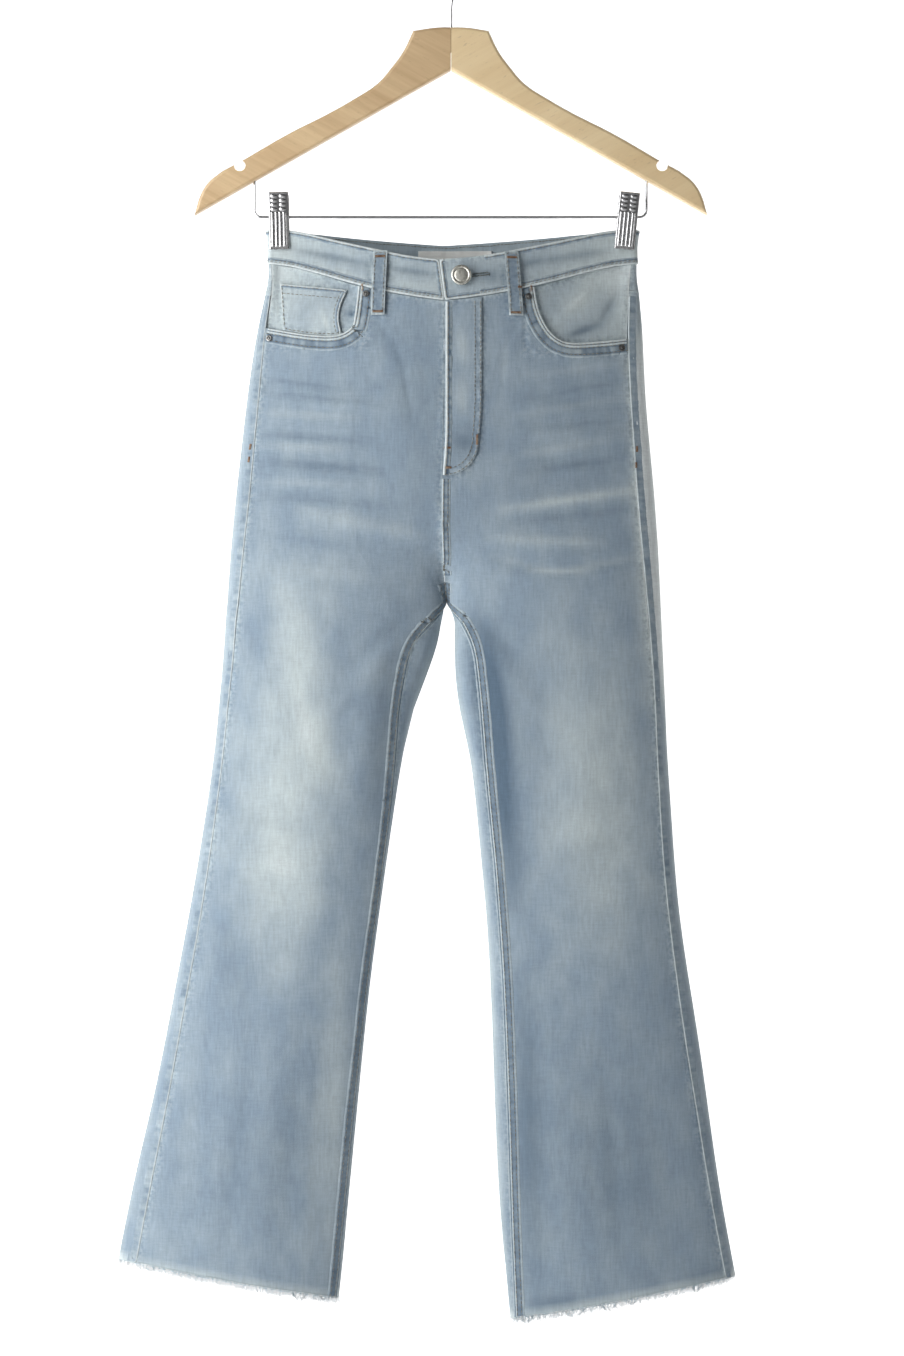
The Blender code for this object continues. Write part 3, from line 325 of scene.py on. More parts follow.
# Pitch of the stitches for each length of one, and along the row that shows inside.
STITCH_GAP = 1.28
INSIDE_GAP = 0.8
# Insets in mm of the rows that lie on no band.
FLY_ROWS = (1.5, 6.3)
INSIDE_ROW = 2.6
COIN_ROWS = (("coin_outer", (2.0,)), ("coin_foot", (2.0,)))
STITCHED_PIECES = {
    "back_pocket_right": (2.0, 7.0), "back_pocket_left": (2.0, 7.0),
    "belt_loop_front_right": (2.2,), "belt_loop_front_left": (2.2,),
    "belt_loop_back_right": (2.2,), "belt_loop_back_left": (2.2,),
    "belt_loop_back_centre": (2.2,),
}
# Which mesh the stitches of a line go in, where that isn't the front.
STITCH_PARTS = {
    "waist_top": "waist", "waist_foot": "waist", "yoke_right": "back", "yoke_left": "back",
    "seat": "back", "seat_yoke": "back",
}
# Heights of the threads' middles, how far a search starts outside, and what counts as the back.
ON_CLOTH = 0.0004
ON_BAND = 0.0002
ON_INSIDE = 0.0003
OUTSIDE = 0.2
BACK_FACING = 0.3
# Bar tacks of close threads at the ends of seams and loops: middle, angle and length in mm.
TACK_COLUMNS = ("x", "z", "angle", "length")
TACKS = {
    "front": (
        (22.6, -439, 90, 9), (-3.2, -446, 0, 6), (-2.6, -463, 0, 6), (-174.5, -444, 80, 5),
        (-175.6, -455, 80, 5), (161.6, -446, 90, 5), (160.8, -460, 90, 5), (60, -306, 0, 4),
        (-61.4, -279, 0, 9), (-63.4, -327.5, 0, 9), (52.8, -280, 0, 9), (56.3, -328.5, 0, 9),
        (-77, -306, 90, 6), (69.6, -307, 90, 6),
    ),
    "back": (
        (-96, -264, 0, 9), (-96, -307, 0, 9), (90, -264, 0, 9), (90, -307, 0, 9), (-6, -270, 0, 9),
        (-6, -318, 0, 9),
    ),
}
# Pitch of their threads in metres, and their length for each length of a stitch.
TACK_PITCH = 0.00055
TACK_STRETCH = 0.8
# The buttonhole in mm: middle, angle, each row's height and length, and its end bar's place.
HOLE_X, HOLE_Z, HOLE_ANGLE = 25.4, -296.4, 8
HOLE_ROWS = ((2.2, 14), (0.2, 15))
HOLE_BAR = (7.6, 1.5, 3)
HOLE_STRETCH = 0.42

# Loose threads at the raw hems: points, root above the hem, thickness, spacing and droop.
FRAY_POINTS = 4
FRAY_ROOT = 0.0016
FRAY_WIDTH = 0.00036
FRAY_PITCH = 0.00017
FRAY_OFF_WALL = 0.0007
FRAY_DROOP = 0.2
THREAD_TAPER = 0.6
# Ranges that the threads are drawn from; lean and bend are a mean and a spread.
FRAY_PITCHES = (0.5, 1.5)
FRAY_LENGTHS = (0.25, 0.75)
FRAY_WIDTHS = (0.8, 1.3)
FRAY_LEAN = (0.12, 0.35)
FRAY_BEND = (0, 0.45)
FRAY_OUT = (-0.1, 0.22)
# Tufts: grains in a metre, a thread's least length and what a full tuft adds to it.
TUFT_GRAIN = 90
TUFT_LEAST, TUFT_MORE = 0.6, 0.8
# The few long threads: their share of all, and how much longer they are.
LONG_SHARE = 0.03
LONG_LENGTHS = (1.5, 2.2)
# Rolled tufts that hang in a loop: share along the hem, width and drop in metres.
CURLS = {
    "front_panel_right": ((0.07, 0.010, 0.005), (0.42, 0.006, 0.004), (0.82, 0.013, 0.007),
                          (0.94, 0.006, 0.004)),
    "back_panel_right": ((0.25, 0.010, 0.006), (0.66, 0.012, 0.006)),
    "front_panel_left": ((0.05, 0.012, 0.006), (0.28, 0.016, 0.008), (0.44, 0.014, 0.007),
                         (0.55, 0.008, 0.005), (0.86, 0.010, 0.006)),
    "back_panel_left": ((0.20, 0.010, 0.006), (0.74, 0.013, 0.006)),
}
CURL_THREADS = 14
CURL_POINTS = 7
CURL_WIDTHS = (0.75, 1.15)
CURL_DROPS = (0.5, 1.1)
CURL_SPREAD = 0.0003
CURL_OUT = 0.0012
CURL_UP = 0.0008
CURL_THICK = 1.1

# Round metal pieces from back to crown: each ring's radius and height in mm.
BUTTON_RINGS = (
    (3.0, 0.0), (3.0, 2.0), (7.4, 2.3), (8.5, 2.8), (8.8, 3.4), (8.7, 4.0), (8.2, 4.5), (7.4, 4.7),
    (6.7, 4.55), (6.3, 4.15), (5.9, 4.1), (5.6, 4.35), (4.8, 4.6), (2.6, 4.8), (0.6, 4.9),
)
RIVET_RINGS = (
    (2.8, -0.4), (2.9, 0.3), (2.7, 0.7), (2.1, 0.95), (1.6, 0.9), (1.4, 0.55), (1.2, 0.55),
    (1.0, 0.95), (0.6, 1.15), (0.2, 1.2),
)
# Which way the button faces, the pieces' sides, and how far in metres a rivet stands up.
BUTTON_FACES = (0.02, -1, 0.05)
BUTTON_SIDES, RIVET_SIDES = 48, 24
RIVET_UP = 0.0007

# Clips: each one's tilt, the grid of a jaw, its share of the plain plate, its sheet and the springs.
CLIP_TILTS = {"right": -0.02, "left": 0.10}
JAW_STEPS = (46, 98)
JAW_FIT = 0.999
JAW_SHEET = 0.0009
COIL_PITCH = 0.0019
COIL_WIRE = 0.0009
# A jaw in mm: size, rim, and how far it stands from the middle at distances down it.
JAW_WIDE, JAW_TALL = 17.0, 49.2
JAW_RIM, JAW_RIM_DROP = 0.7, 0.5
JAW_DROPS = (0, 9, 19, 24, 32, 44, 49.2)
JAW_AWAY = (9.6, 8.0, 6.3, 6.0, 6.1, 6.2, 6.5)
# Its pressed grips in mm: ovals above and ridges below, their half widths, heights and ends.
OVAL_COLUMNS = (-4.0, 3.6)
OVAL_ROWS = (3.2, 6.9, 10.6, 14.3)
OVAL_WIDE, OVAL_TALL = 2.7, 1.35
OVAL_UP, OVAL_EDGE = 0.9, 1.25
RIDGE_COLUMNS = (-5.3, -1.9, 1.5, 4.9)
RIDGE_TOP, RIDGE_FOOT = 16.6, 47.0
RIDGE_WIDE, RIDGE_END = 1.25, 1.2

# Dark and light tone of each finish. A metal has its roughness too, and beech its grain's lean.
METAL_TONES = {
    "plated_steel": ((0.50, 0.50, 0.51, 1), (0.74, 0.74, 0.75, 1), 0.20),
    "worn_nickel": ((0.46, 0.45, 0.40, 1), (0.84, 0.83, 0.76, 1), 0.46),
    "dark_rivet": ((0.10, 0.10, 0.10, 1), (0.34, 0.34, 0.33, 1), 0.40),
}
BEECH_TONES = {
    "right": ((0.58, 0.39, 0.21, 1), (0.78, 0.58, 0.34, 1), -0.50),
    "left": ((0.86, 0.64, 0.36, 1), (0.98, 0.78, 0.48, 1), 0.50),
}
THREAD_TONES = {
    "topstitch_thread": ((0.15, 0.13, 0.09, 1), (0.36, 0.34, 0.28, 1)),
    "tack_thread": ((0.20, 0.10, 0.05, 1), (0.38, 0.26, 0.17, 1)),
    "hole_thread": ((0.07, 0.09, 0.09, 1), (0.26, 0.28, 0.26, 1)),
}
BEECH_FLECK = (0.42, 0.28, 0.15, 1)
LABEL_TONES = ((0.88, 0.90, 0.86, 1), (1.0, 1.0, 0.97, 1))
LOOSE_TONES = ((0.58, 0.68, 0.74, 1), (0.90, 0.93, 0.94, 1))
INSIDE_TONES = ((0.30, 0.36, 0.42, 1), (0.64, 0.70, 0.74, 1))
PAPER_TONES = ((0.93, 0.93, 0.93, 1), (0.96, 0.96, 0.96, 1))
PAPER_GLOW = (0.97, 0.97, 0.97, 1)

# The stage in metres. The backdrop is far behind, out of the way of any view.
FLOOR_Z = -1.36
FLOOR_SIZE = 16.0
BACKDROP_Y = 7.0
BACKDROP_HEIGHT = 6.0
BACKDROP_CURVE = 2.0
# Where behind the garment the paper starts to glow of itself, and where it glows in full.
GLOW_FROM, GLOW_FULL = 0.15, 0.60
ROOM_LIGHT = 0.08
SENSOR_HEIGHT = 36
LIGHT_COLUMNS = ("name", "x", "y", "z", "wide", "tall", "watts")
LIGHTS = (
    ("key", -0.92, -0.58, -0.52, 0.8, 1.9, 19), ("front", -0.4, -3.2, 0.5, 2.0, 2.0, 4),
    ("side", 1.7, -0.2, -0.5, 0.6, 1.8, 6.0), ("behind", 0.6, 1.7, 0.4, 2.0, 2.0, 8),
)

# The cloth shells that are made, under their nodes' names.
dressed = {}


class JeansSizes(bpy.types.PropertyGroup):
    """Sizes of the creases, the sewing and the fray."""
    crease: bpy.props.FloatProperty(
        name="Crease strength", description="How deep the creases are against the hung cloth",
        default=1.0, min=0.0, max=2.0)
    pucker: bpy.props.FloatProperty(
        name="Seam pucker", description="Height of the small waves along the seams",
        default=0.00035, unit="LENGTH")
    stitch_length: bpy.props.FloatProperty(
        name="Stitch length", description="Length of one topstitch",
        default=0.0030, unit="LENGTH")
    stitch_width: bpy.props.FloatProperty(
        name="Thread thickness", description="Thickness of the topstitching thread",
        default=0.00062, unit="LENGTH")
    fray_length: bpy.props.FloatProperty(
        name="Fray length", description="Length of a loose thread at the raw hem",
        default=0.0090, unit="LENGTH")


class JeansColours(bpy.types.PropertyGroup):
    """Colours of the denim."""
    denim: bpy.props.FloatVectorProperty(
        name="Denim", description="Washed denim where it is neither faded nor deep",
        subtype="COLOR", size=3, default=(0.268, 0.352, 0.440))
    # This colour is also used for painted highlights on ridges and on the sides of the hips.
    faded_and_highlight: bpy.props.FloatVectorProperty(
        name="Faded denim", description="Denim worn pale on the thighs and ridges",
        subtype="COLOR", size=3, default=(0.560, 0.640, 0.655))
    # This colour is also used for painted shade in creases, beside seams and on the inner thighs.
    deep: bpy.props.FloatVectorProperty(
        name="Deep denim", description="Denim kept blue in the creases and beside the seams",
        subtype="COLOR", size=3, default=(0.088, 0.142, 0.205))
    # This white is worn seam ridges and also a painted highlight on them.
    bleached_and_highlight: bpy.props.FloatVectorProperty(
        name="Bleached denim", description="Denim rubbed almost white on the seam ridges",
        subtype="COLOR", size=3, default=(0.800, 0.855, 0.860))


class StageSettings(bpy.types.PropertyGroup):
    """Where the camera stands and what it takes in."""
    distance: bpy.props.FloatProperty(
        name="Camera distance", description="From the camera to the garment's middle plane",
        default=3.0, unit="LENGTH")
    frame_height: bpy.props.FloatProperty(
        name="Frame height", description="Height of the picture at the garment",
        default=1.1831, unit="LENGTH")
    middle_x: bpy.props.FloatProperty(
        name="Picture middle, across", description="Where the picture's middle lies across",
        default=0.0009, unit="LENGTH")
    middle_z: bpy.props.FloatProperty(
        name="Picture middle, height", description="Where the picture's middle lies in height",
        default=-0.6450, unit="LENGTH")


def settings():
    return bpy.context.scene.jeans_sizes


def row_values(row, columns):
    """A table's row as a dictionary with its columns' names."""
    return dict(zip(columns, row))


def ease(share):
    """A share that starts and ends softly."""
    share = np.clip(share, 0.0, 1.0)
    return share * share * (3 - 2 * share)


def stroke_sum(table, points):
    """Add up soft strokes at many points. Each fades out to its sides and towards its ends."""
    total = np.zeros(len(points))
    place = points[:, [0, 2]]
    for face, rows in table.items():
        side = points[:, 1] < 0 if face == "front" else points[:, 1] >= 0
        for row in rows:
            stroke = row_values(row, STROKE_COLUMNS)
            start = np.array((stroke["x1"], stroke["z1"])) * MM
            run = np.array((stroke["x2"], stroke["z2"])) * MM - start
            share = np.clip((place - start) @ run / (run @ run), 0.0, 1.0)
            away = np.linalg.norm(place - start - share[:, None] * run, axis=1)
            soft = np.exp(-(away / (stroke["half_width"] * MM)) ** 2)
            strength = STROKE_ENDS + (1 - STROKE_ENDS) * np.sin(np.pi * share)
            total += side * stroke["depth"] * soft * strength
    return total


def coordinates(mesh):
    points = np.empty(len(mesh.vertices) * 3)
    mesh.vertices.foreach_get("co", points)
    return points.reshape(-1, 3)


def set_coordinates(mesh, points):
    mesh.vertices.foreach_set("co", np.asarray(points, dtype=float).ravel())
    mesh.update()


def select_only(piece):
    bpy.ops.object.select_all(action="DESELECT")
    piece.select_set(True)
    bpy.context.view_layer.objects.active = piece


def apply_modifier(piece, kind, **values):
    """Add a modifier to a piece, set it up and apply it."""
    select_only(piece)
    modifier = piece.modifiers.new(kind.title(), kind)
    for name, value in values.items():
        setattr(modifier, name, value)
    bpy.ops.object.modifier_apply(modifier=modifier.name)


def subdivide(piece, levels):
    apply_modifier(piece, "SUBSURF", levels=levels, render_levels=levels, boundary_smooth="ALL")


def add_piece(name, mesh, finish):
    """Put a finished mesh in the scene as a piece that rides with the garment."""
    made = bpy.data.objects.new(name, mesh)
    bpy.context.scene.collection.objects.link(made)
    if finish:
        mesh.materials.clear()
        mesh.materials.append(finish)
    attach(made, BODY)
    return made


def merged_copy(node, name):
    """A node's mesh with its loose triangles merged, as quads where they lie flat. Its faces are
    marked as outer face, inner face or cut edge by what lies behind each of them."""
    shape = bmesh.new()
    shape.from_mesh(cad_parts[node].data)
    bmesh.ops.remove_doubles(shape, verts=shape.verts, dist=WELD)
    bmesh.ops.join_triangles(shape, faces=shape.faces, angle_face_threshold=0.7,
                             angle_shape_threshold=math.pi)
    shape.normal_update()
    walls = BVHTree.FromBMesh(shape)
    depths = []
    for face in shape.faces:
        start = face.calc_center_median() - face.normal * WELD
        depths.append(walls.ray_cast(start, -face.normal)[3] or 1.0)
    wall = float(np.median(depths))
    for face, depth in zip(shape.faces, depths):
        turned = any(edge.calc_face_angle(0.0) > RIM_ANGLE for edge in face.edges)
        face.material_index = EDGE if turned and depth > THICK_ALLOWED * wall else INNER
    mark_outer(shape)
    crease = shape.edges.layers.float.new("crease_edge")
    for edge in shape.edges:
        kinds = {face.material_index for face in edge.link_faces}
        edge[crease] = 1.0 if len(kinds) > 1 or edge.calc_face_angle(0.0) > RIM_ANGLE else 0.0
    mesh = bpy.data.meshes.new(name)
    shape.to_mesh(mesh)
    shape.free()
    return mesh


def mark_outer(shape):
    """Mark the wall that faces away from the garment's middle as its outer face."""
    seen = set()
    best, best_score = [], -math.inf
    for first in shape.faces:
        if first in seen or first.material_index == EDGE:
            continue
        region, stack, score = [], [first], 0.0
        seen.add(first)
        while stack:
            face = stack.pop()
            region.append(face)
            middle = face.calc_center_median()
            score += face.calc_area() * face.normal.y * math.copysign(1, middle.y)
            for edge in face.edges:
                if edge.calc_face_angle(0.0) > RIM_ANGLE:
                    continue
                for other in edge.link_faces:
                    if other not in seen and other.material_index != EDGE:
                        seen.add(other)
                        stack.append(other)
        if score > best_score:
            best, best_score = region, score
    for face in best:
        face.material_index = OUTER


def outer_face(mesh):
    """Which vertices lie on a shell's outer face, and the vertex loops round that face."""
    shape = bmesh.new()
    shape.from_mesh(mesh)
    members, links = set(), {}
    for face in shape.faces:
        if face.material_index != OUTER:
            continue
        for loop in face.loops:
            members.add(loop.vert.index)
            if any(other.material_index != OUTER for other in loop.edge.link_faces):
                links[loop.vert.index] = loop.link_loop_next.vert.index
    loops = []
    while links:
        ring = [next(iter(links))]
        while links.get(ring[-1]) is not None:
            ring.append(links.pop(ring[-1]))
        loops.append(ring[:-1] if ring[0] == ring[-1] else ring)
    shape.free()
    return members, loops


def crease_field(points, seams):
    """How far the creases and the pucker along the seams move each point outwards."""
    size = settings()
    moved = stroke_sum(CREASES, points) * MM * size.crease
    for i, point in enumerate(points):
        away = seams.find(point)[2]
        if away < PUCKER_END * PUCKER_REACH:
            wave = noise.noise(Vector(point) / (PUCKER_PITCH * CLOTH_WAVE))
            fall = math.exp(-(away / PUCKER_REACH) ** 2)
            moved[i] += CLOTH_WAVE_RISE * size.pucker * wave * fall
    side = ease(np.abs(points[:, 1]) / SIDE_FADE)
    return moved * side * np.sign(points[:, 1])


def hem_distance(points):
    """Height of each point above its leg's raw hem."""
    above = np.full(len(points), FAR)
    for side in SIDES:
        (x1, z1), (x2, z2) = HEMS[side]
        share = (points[:, 0] / MM - x1) / (x2 - x1)
        on_leg = (points[:, 0] < 0) if side == "right" else (points[:, 0] > 0)
        line = (z1 + (z2 - z1) * share) * MM
        above = np.where(on_leg, points[:, 2] - line, above)
    return above


def paint_wash_and_shading(mesh, values):
    """Store the pale, deep, seam and white masks, which hold painted light and shade as well as the
    denim's fades, on the vertices for the denim material.
    """
    # These masks hold painted light and shade as well as the denim's fades.
    layer = mesh.color_attributes.new("wash_and_shading", "FLOAT_COLOR", "POINT")
    filled = np.zeros((len(values), 4))
    filled[:, :3] = np.clip(values, 0.0, 1.0)
    filled[:, 3] = ease((values[:, 0] - WHITE_FROM) / WHITE_RANGE)
    layer.data.foreach_set("color", filled.ravel())


def wash_and_shading_values(node, points, seams, members):
    """Paleness, darkness and closeness to a seam at each point of a cloth shell: the denim's fades
    and deeper blue, with painted highlights and painted shade.
    """
    fades_and_shading = stroke_sum(FADE_AND_SHADING_STROKES, points)
    folds = stroke_sum(CREASES, points)
    side = ease(np.abs(points[:, 1]) / SIDE_REACH)
    hem = hem_distance(points)
    # Paler with the fades, the edges and some painted highlights; darker with deeper blue, and with
    # painted shade in the crease troughs and some strokes.
    fade_and_highlight = EVEN_FADE + np.maximum(fades_and_shading, 0) + RIDGE_FADE_AND_HIGHLIGHT * np.maximum(folds, 0)
    fade_and_highlight += SIDE_WEAR_AND_HIGHLIGHT * (1 - side)
    fade_and_highlight += HEM_PALE * np.exp(-np.maximum(hem, 0) / HEM_PALE_REACH)
    deep = np.maximum(-fades_and_shading, 0) + TROUGH_SHADE * np.maximum(-folds, 0)
    away = np.array([seams.find(point)[2] for point in points])
    near = np.exp(-(away / ROPING_REACH) ** 2)
    fade_and_highlight += EDGE_PALE * np.exp(-(away / EDGE_REACH) ** 2)
    fade_and_highlight += PALE_PIECES.get(node, 0.0)
    if node in BELT_LOOPS:
        fade_and_highlight += LOOP_PALE * np.exp(-(away / LOOP_REACH) ** 2)
        deep += LOOP_DEEP * (1 - np.exp(-(away / LOOP_DEEP_REACH) ** 2))
    if "back_pocket" in node:
        fade_and_highlight += POCKET_PALE * np.exp(-(away / POCKET_REACH) ** 2)
        deep += POCKET_DEEP * np.exp(-((away - POCKET_DEEP_INSET) / POCKET_DEEP_REACH) ** 2)
    values = np.column_stack((fade_and_highlight, deep, near))
    inner = np.ones(len(points), dtype=bool)
    inner[list(members)] = False
    values[inner] = DOUBLE_INSIDE_WASH if node in DOUBLE_CLOTH else INSIDE_WASH
    return values


def even_out(mesh, members, loops, middle):
    """Smooth the outer face round one place, where long thin faces meet, but not its cut edge."""
    points = coordinates(mesh)
    edges = np.empty(len(mesh.edges) * 2, dtype=int)
    mesh.edges.foreach_get("vertices", edges)
    edges = edges.reshape(-1, 2)
    away = np.linalg.norm(points - np.array(middle), axis=1)
    share = np.zeros(len(points))
    share[list(members)] = ease((EVEN_REACH - away[list(members)]) / (0.5 * EVEN_REACH))
    share[[index for ring in loops for index in ring]] = 0.0
    inside = np.zeros(len(points), dtype=bool)
    inside[list(members)] = True
    edges = edges[inside[edges].all(axis=1)]
    count = np.bincount(edges.ravel(), minlength=len(points))
    for _ in range(EVEN_ROUNDS):
        total = np.zeros_like(points)
        np.add.at(total, edges[:, 0], points[edges[:, 1]])
        np.add.at(total, edges[:, 1], points[edges[:, 0]])
        means = total / np.maximum(count, 1)[:, None]
        points += share[:, None] * EVEN_STEP * (means - points)
    set_coordinates(mesh, points)


def make_shell(row):
    """One cloth piece as a fine shell on its solid's form."""
    cut = row_values(row, CLOTH_COLUMNS)
    name = cut["node"] + "_cloth"
    piece = add_piece(name, merged_copy(cut["node"], name), None)
    subdivide(piece, cut["levels"])
    piece.data.shade_smooth()
    piece.data.set_sharp_from_angle(angle=RIM_ANGLE)
    members, loops = outer_face(piece.data)
    if "front_panel" in cut["node"]:
        even_out(piece.data, members, loops, Vector(CROTCH) * MM)
    dressed[cut["node"]] = {"piece": piece, "members": members, "loops": loops, "cut": cut}
    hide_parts(cut["node"])


def cloth_finishes(node):
    """Materials of a shell's outer face, inner face and cut edge."""
    if node == "label":
        return [label_material()] * 3
    if node in DOUBLE_CLOTH:
        return [denim_material()] * 3
    return denim_material(), inside_material(), inside_material()


def seam_tree():
    """A search tree of the points along every cut edge but the raw hems."""
    places = []
    for shell in dressed.values():
        points = coordinates(shell["piece"].data)
        for ring in shell["loops"]:
            places.extend(points[ring])
    places = np.array(places)
    places = places[hem_distance(places) > HEM_REACH]
    tree = KDTree(len(places))
    for i, place in enumerate(places):
        tree.insert(place, i)
    tree.balance()
    return tree


class JEANS_OT_cloth(bpy.types.Operator):
    """Cut and hang the cloth: panels, yokes, waistband, pockets, fly and belt loops"""
    bl_idname = "jeans.cloth"
    bl_label = "Cloth"

    def execute(self, context):
        for row in CLOTHS:
            make_shell(row)
        seams = seam_tree()
        for shell in dressed.values():
            mesh = shell["piece"].data
            points = coordinates(mesh)
            paint_wash_and_shading(mesh, wash_and_shading_values(shell["cut"]["node"], points, seams, shell["members"]))
            points[:, 1] += crease_field(points, seams)
            set_coordinates(mesh, points)
            mesh.materials.clear()
            for finish in cloth_finishes(shell["cut"]["node"]):
                mesh.materials.append(finish)
        return {"FINISHED"}


def outer_tree(node):
    """A ray-casting tree of one shell's outer face."""
    shell = dressed[node]
    if "tree" not in shell:
        mesh = shell["piece"].data
        faces = [tuple(face.vertices) for face in mesh.polygons if face.material_index == OUTER]
        shell["tree"] = BVHTree.FromPolygons([vert.co for vert in mesh.vertices], faces)
    return shell["tree"]


def unit(vectors):
    return vectors / np.maximum(np.linalg.norm(vectors, axis=1), 1e-9)[:, None]


def smoothed(values, reach=2):
    """Rows averaged with their neighbours, up to this many on each side."""
    padded = np.pad(values, ((reach, reach), (0, 0)), mode="edge")
    kernel = np.ones(2 * reach + 1) / (2 * reach + 1)
    return np.column_stack([np.convolve(padded[:, i], kernel, "valid") for i in range(3)])


def distances(points):
    """How far along a line of points each of them lies."""
    return np.concatenate(([0.0], np.cumsum(np.linalg.norm(np.diff(points, axis=0), axis=1))))


def resampled(spots, along, values):
    """Rows of three values at points along a line, read off at other distances along it."""
    return np.column_stack([np.interp(spots, along, values[:, i]) for i in range(3)])


def edge_line(edge):
    """Even points along part of a cut edge, with the direction into the piece and the normal."""
    node, start, end, via = edge
    shell = dressed[node]
    mesh = shell["piece"].data
    ring = shell["loops"][0]
    places = np.array([mesh.vertices[i].co for i in ring])
    order = {index: i for i, index in enumerate(ring)}
    inward = np.zeros((len(ring), 3))
    normals = np.zeros((len(ring), 3))
    for face in mesh.polygons:
        if face.material_index != OUTER:
            continue
        for index in face.vertices:
            if index in order:
                inward[order[index]] += np.array(face.center) - places[order[index]]
                normals[order[index]] += np.array(face.normal)
    first, last, middle = (int(np.argmin(np.linalg.norm(places - np.array(spot) * MM, axis=1)))
                           for spot in (start, end, via))
    count = len(ring)
    ahead = [(first + i) % count for i in range((last - first) % count + 1)]
    back = [(first - i) % count for i in range((first - last) % count + 1)]
    chosen = ahead if middle in ahead else back
    line, inward, normals = places[chosen], inward[chosen], unit(normals[chosen])
    along = distances(line)
    spots = np.linspace(0, along[-1], max(int(along[-1] / BAND_STEP), 2))
    line, inward, normals = (resampled(spots, along, values)
                             for values in (line, inward, normals))
    line = smoothed(line)
    normals = unit(smoothed(normals))
    tangents = unit(smoothed(np.gradient(line, axis=0), 3))
    sideways = np.cross(normals, tangents)
    sign = np.sign(np.sum(np.sum(sideways * inward, axis=1)))
    return {"node": node, "points": line, "inward": unit(sideways) * sign, "normals": normals}


def walk(line, insets):
    """Points, normals and directions into the piece, at each inset from a line, found by walking
    over the cloth in short steps."""
    tree = outer_tree(line["node"])
    places = [Vector(point) for point in line["points"]]
    inward = [Vector(way) for way in line["inward"]]
    normals = [Vector(normal) for normal in line["normals"]]
    reached, found = 0.0, {}
    for inset in sorted(insets):
        if inset <= 0:
            found[inset] = [(place + way * inset, normal, way)
                            for place, way, normal in zip(places, inward, normals)]
            continue
        steps = max(math.ceil((inset - reached) / WALK_STEP), 1)
        for _ in range(steps):
            for i, place in enumerate(places):
                aim = place + inward[i] * ((inset - reached) / steps)
                hit, normal, _, _ = tree.find_nearest(aim)
                if normal.dot(normals[i]) < 0:
                    normal = normals[i]
                places[i] = hit
                normals[i] = normal
                inward[i] = (inward[i] - normal * inward[i].dot(normal)).normalized()
        reached = inset
        found[inset] = list(zip([place.copy() for place in places], list(normals), list(inward)))
    return found


def lift(walked, out):
    """Walked points moved out along their normals by one height or a height for each."""
    heights = np.broadcast_to(out, len(walked))
    return np.array([place + normal * float(height)
                     for (place, normal, _), height in zip(walked, heights)])


def tube_mesh(name, rings):
    """A closed mesh through rings of equally many points, with its two ends capped."""
    rings = np.asarray(rings)
    count, around = rings.shape[:2]
    faces = []
    for i in range(count - 1):
        for j in range(around):
            k = (j + 1) % around
            faces.append((i * around + j, i * around + k, (i + 1) * around + k,
                          (i + 1) * around + j))
    faces.append(tuple(reversed(range(around))))
    faces.append(tuple((count - 1) * around + j for j in range(around)))
    mesh = bpy.data.meshes.new(name)
    mesh.from_pydata(rings.reshape(-1, 3).tolist(), [], faces)
    return mesh


def turn_outwards(mesh):
    """Turn all faces of a closed mesh outwards."""
    shape = bmesh.new()
    shape.from_mesh(mesh)
    bmesh.ops.recalc_face_normals(shape, faces=shape.faces)
    shape.to_mesh(mesh)
    shape.free()


def wave_along(points, pitch, seed):
    """Uneven waves along a seam, between about -1 and 1."""
    return np.array([noise.noise(Vector(point) / pitch + Vector((seed, 0, 0))) * 2
                     for point in points])


class JEANS_OT_seams(bpy.types.Operator):
    """Raise the sewn edges and felled seams on the cloth"""
    bl_idname = "jeans.seams"
    bl_label = "Seams"

    def execute(self, context):
        for seed, (name, band, _) in enumerate(SEAMS):
            line = edge_line(EDGES[name])
            waves = wave_along(line["points"], PUCKER_PITCH * BAND_WAVE, seed)
            parts = [row_values(row, BAND_COLUMNS) for row in BANDS[band]]
            walked = walk(line, [part["inset"] * MM for part in parts])
            columns, values = [], []
            for part in parts:
                height = part["height"] * (1 + BAND_WAVE_RISE * part["pucker"] * waves) * MM
                columns.append(lift(walked[part["inset"] * MM], height))
                # Paler on the band's ridges, worn with a painted highlight, and darker in its
                # grooves, painted shade, each with roping along the pucker.
                light = part["fade_and_highlight"] + WAVE_PALE * part["pucker"] * np.maximum(waves, 0)
                dark = part["deep"] + WAVE_DEEP * part["pucker"] * np.maximum(-waves, 0)
                roping = np.full(len(waves), BAND_ROPING)
                values.append(np.column_stack((light, dark, roping)))
            for part in (parts[-1], parts[0]):
                columns.append(lift(walked[part["inset"] * MM], -BAND_UNDER))
                values.append(np.zeros((len(waves), 3)))
            mesh = tube_mesh(name + "_seam", np.stack(columns, axis=1))
            turn_outwards(mesh)
            paint_wash_and_shading(mesh, np.stack(values, axis=1).reshape(-1, 3))
            mesh.shade_smooth()
            add_piece(name + "_seam", mesh, denim_material())
        return {"FINISHED"}


def stitch_places(line, inset, pitch, out=ON_CLOTH):
    """Where stitches lie along a row: each one's middle, direction and normal."""
    walked = walk(line, [inset])[inset]
    laid = lift(walked, out)
    normals = np.array([normal for _, normal, _ in walked])
    along = distances(laid)
    spots = np.arange(pitch / 2, along[-1], pitch)
    tangents = unit(np.gradient(laid, axis=0))
    places, tangents, normals = (resampled(spots, along, values)
                                 for values in (laid, tangents, normals))
    return [(Vector(p), Vector(t).normalized(), Vector(n).normalized())
            for p, t, n in zip(places, tangents, normals)]


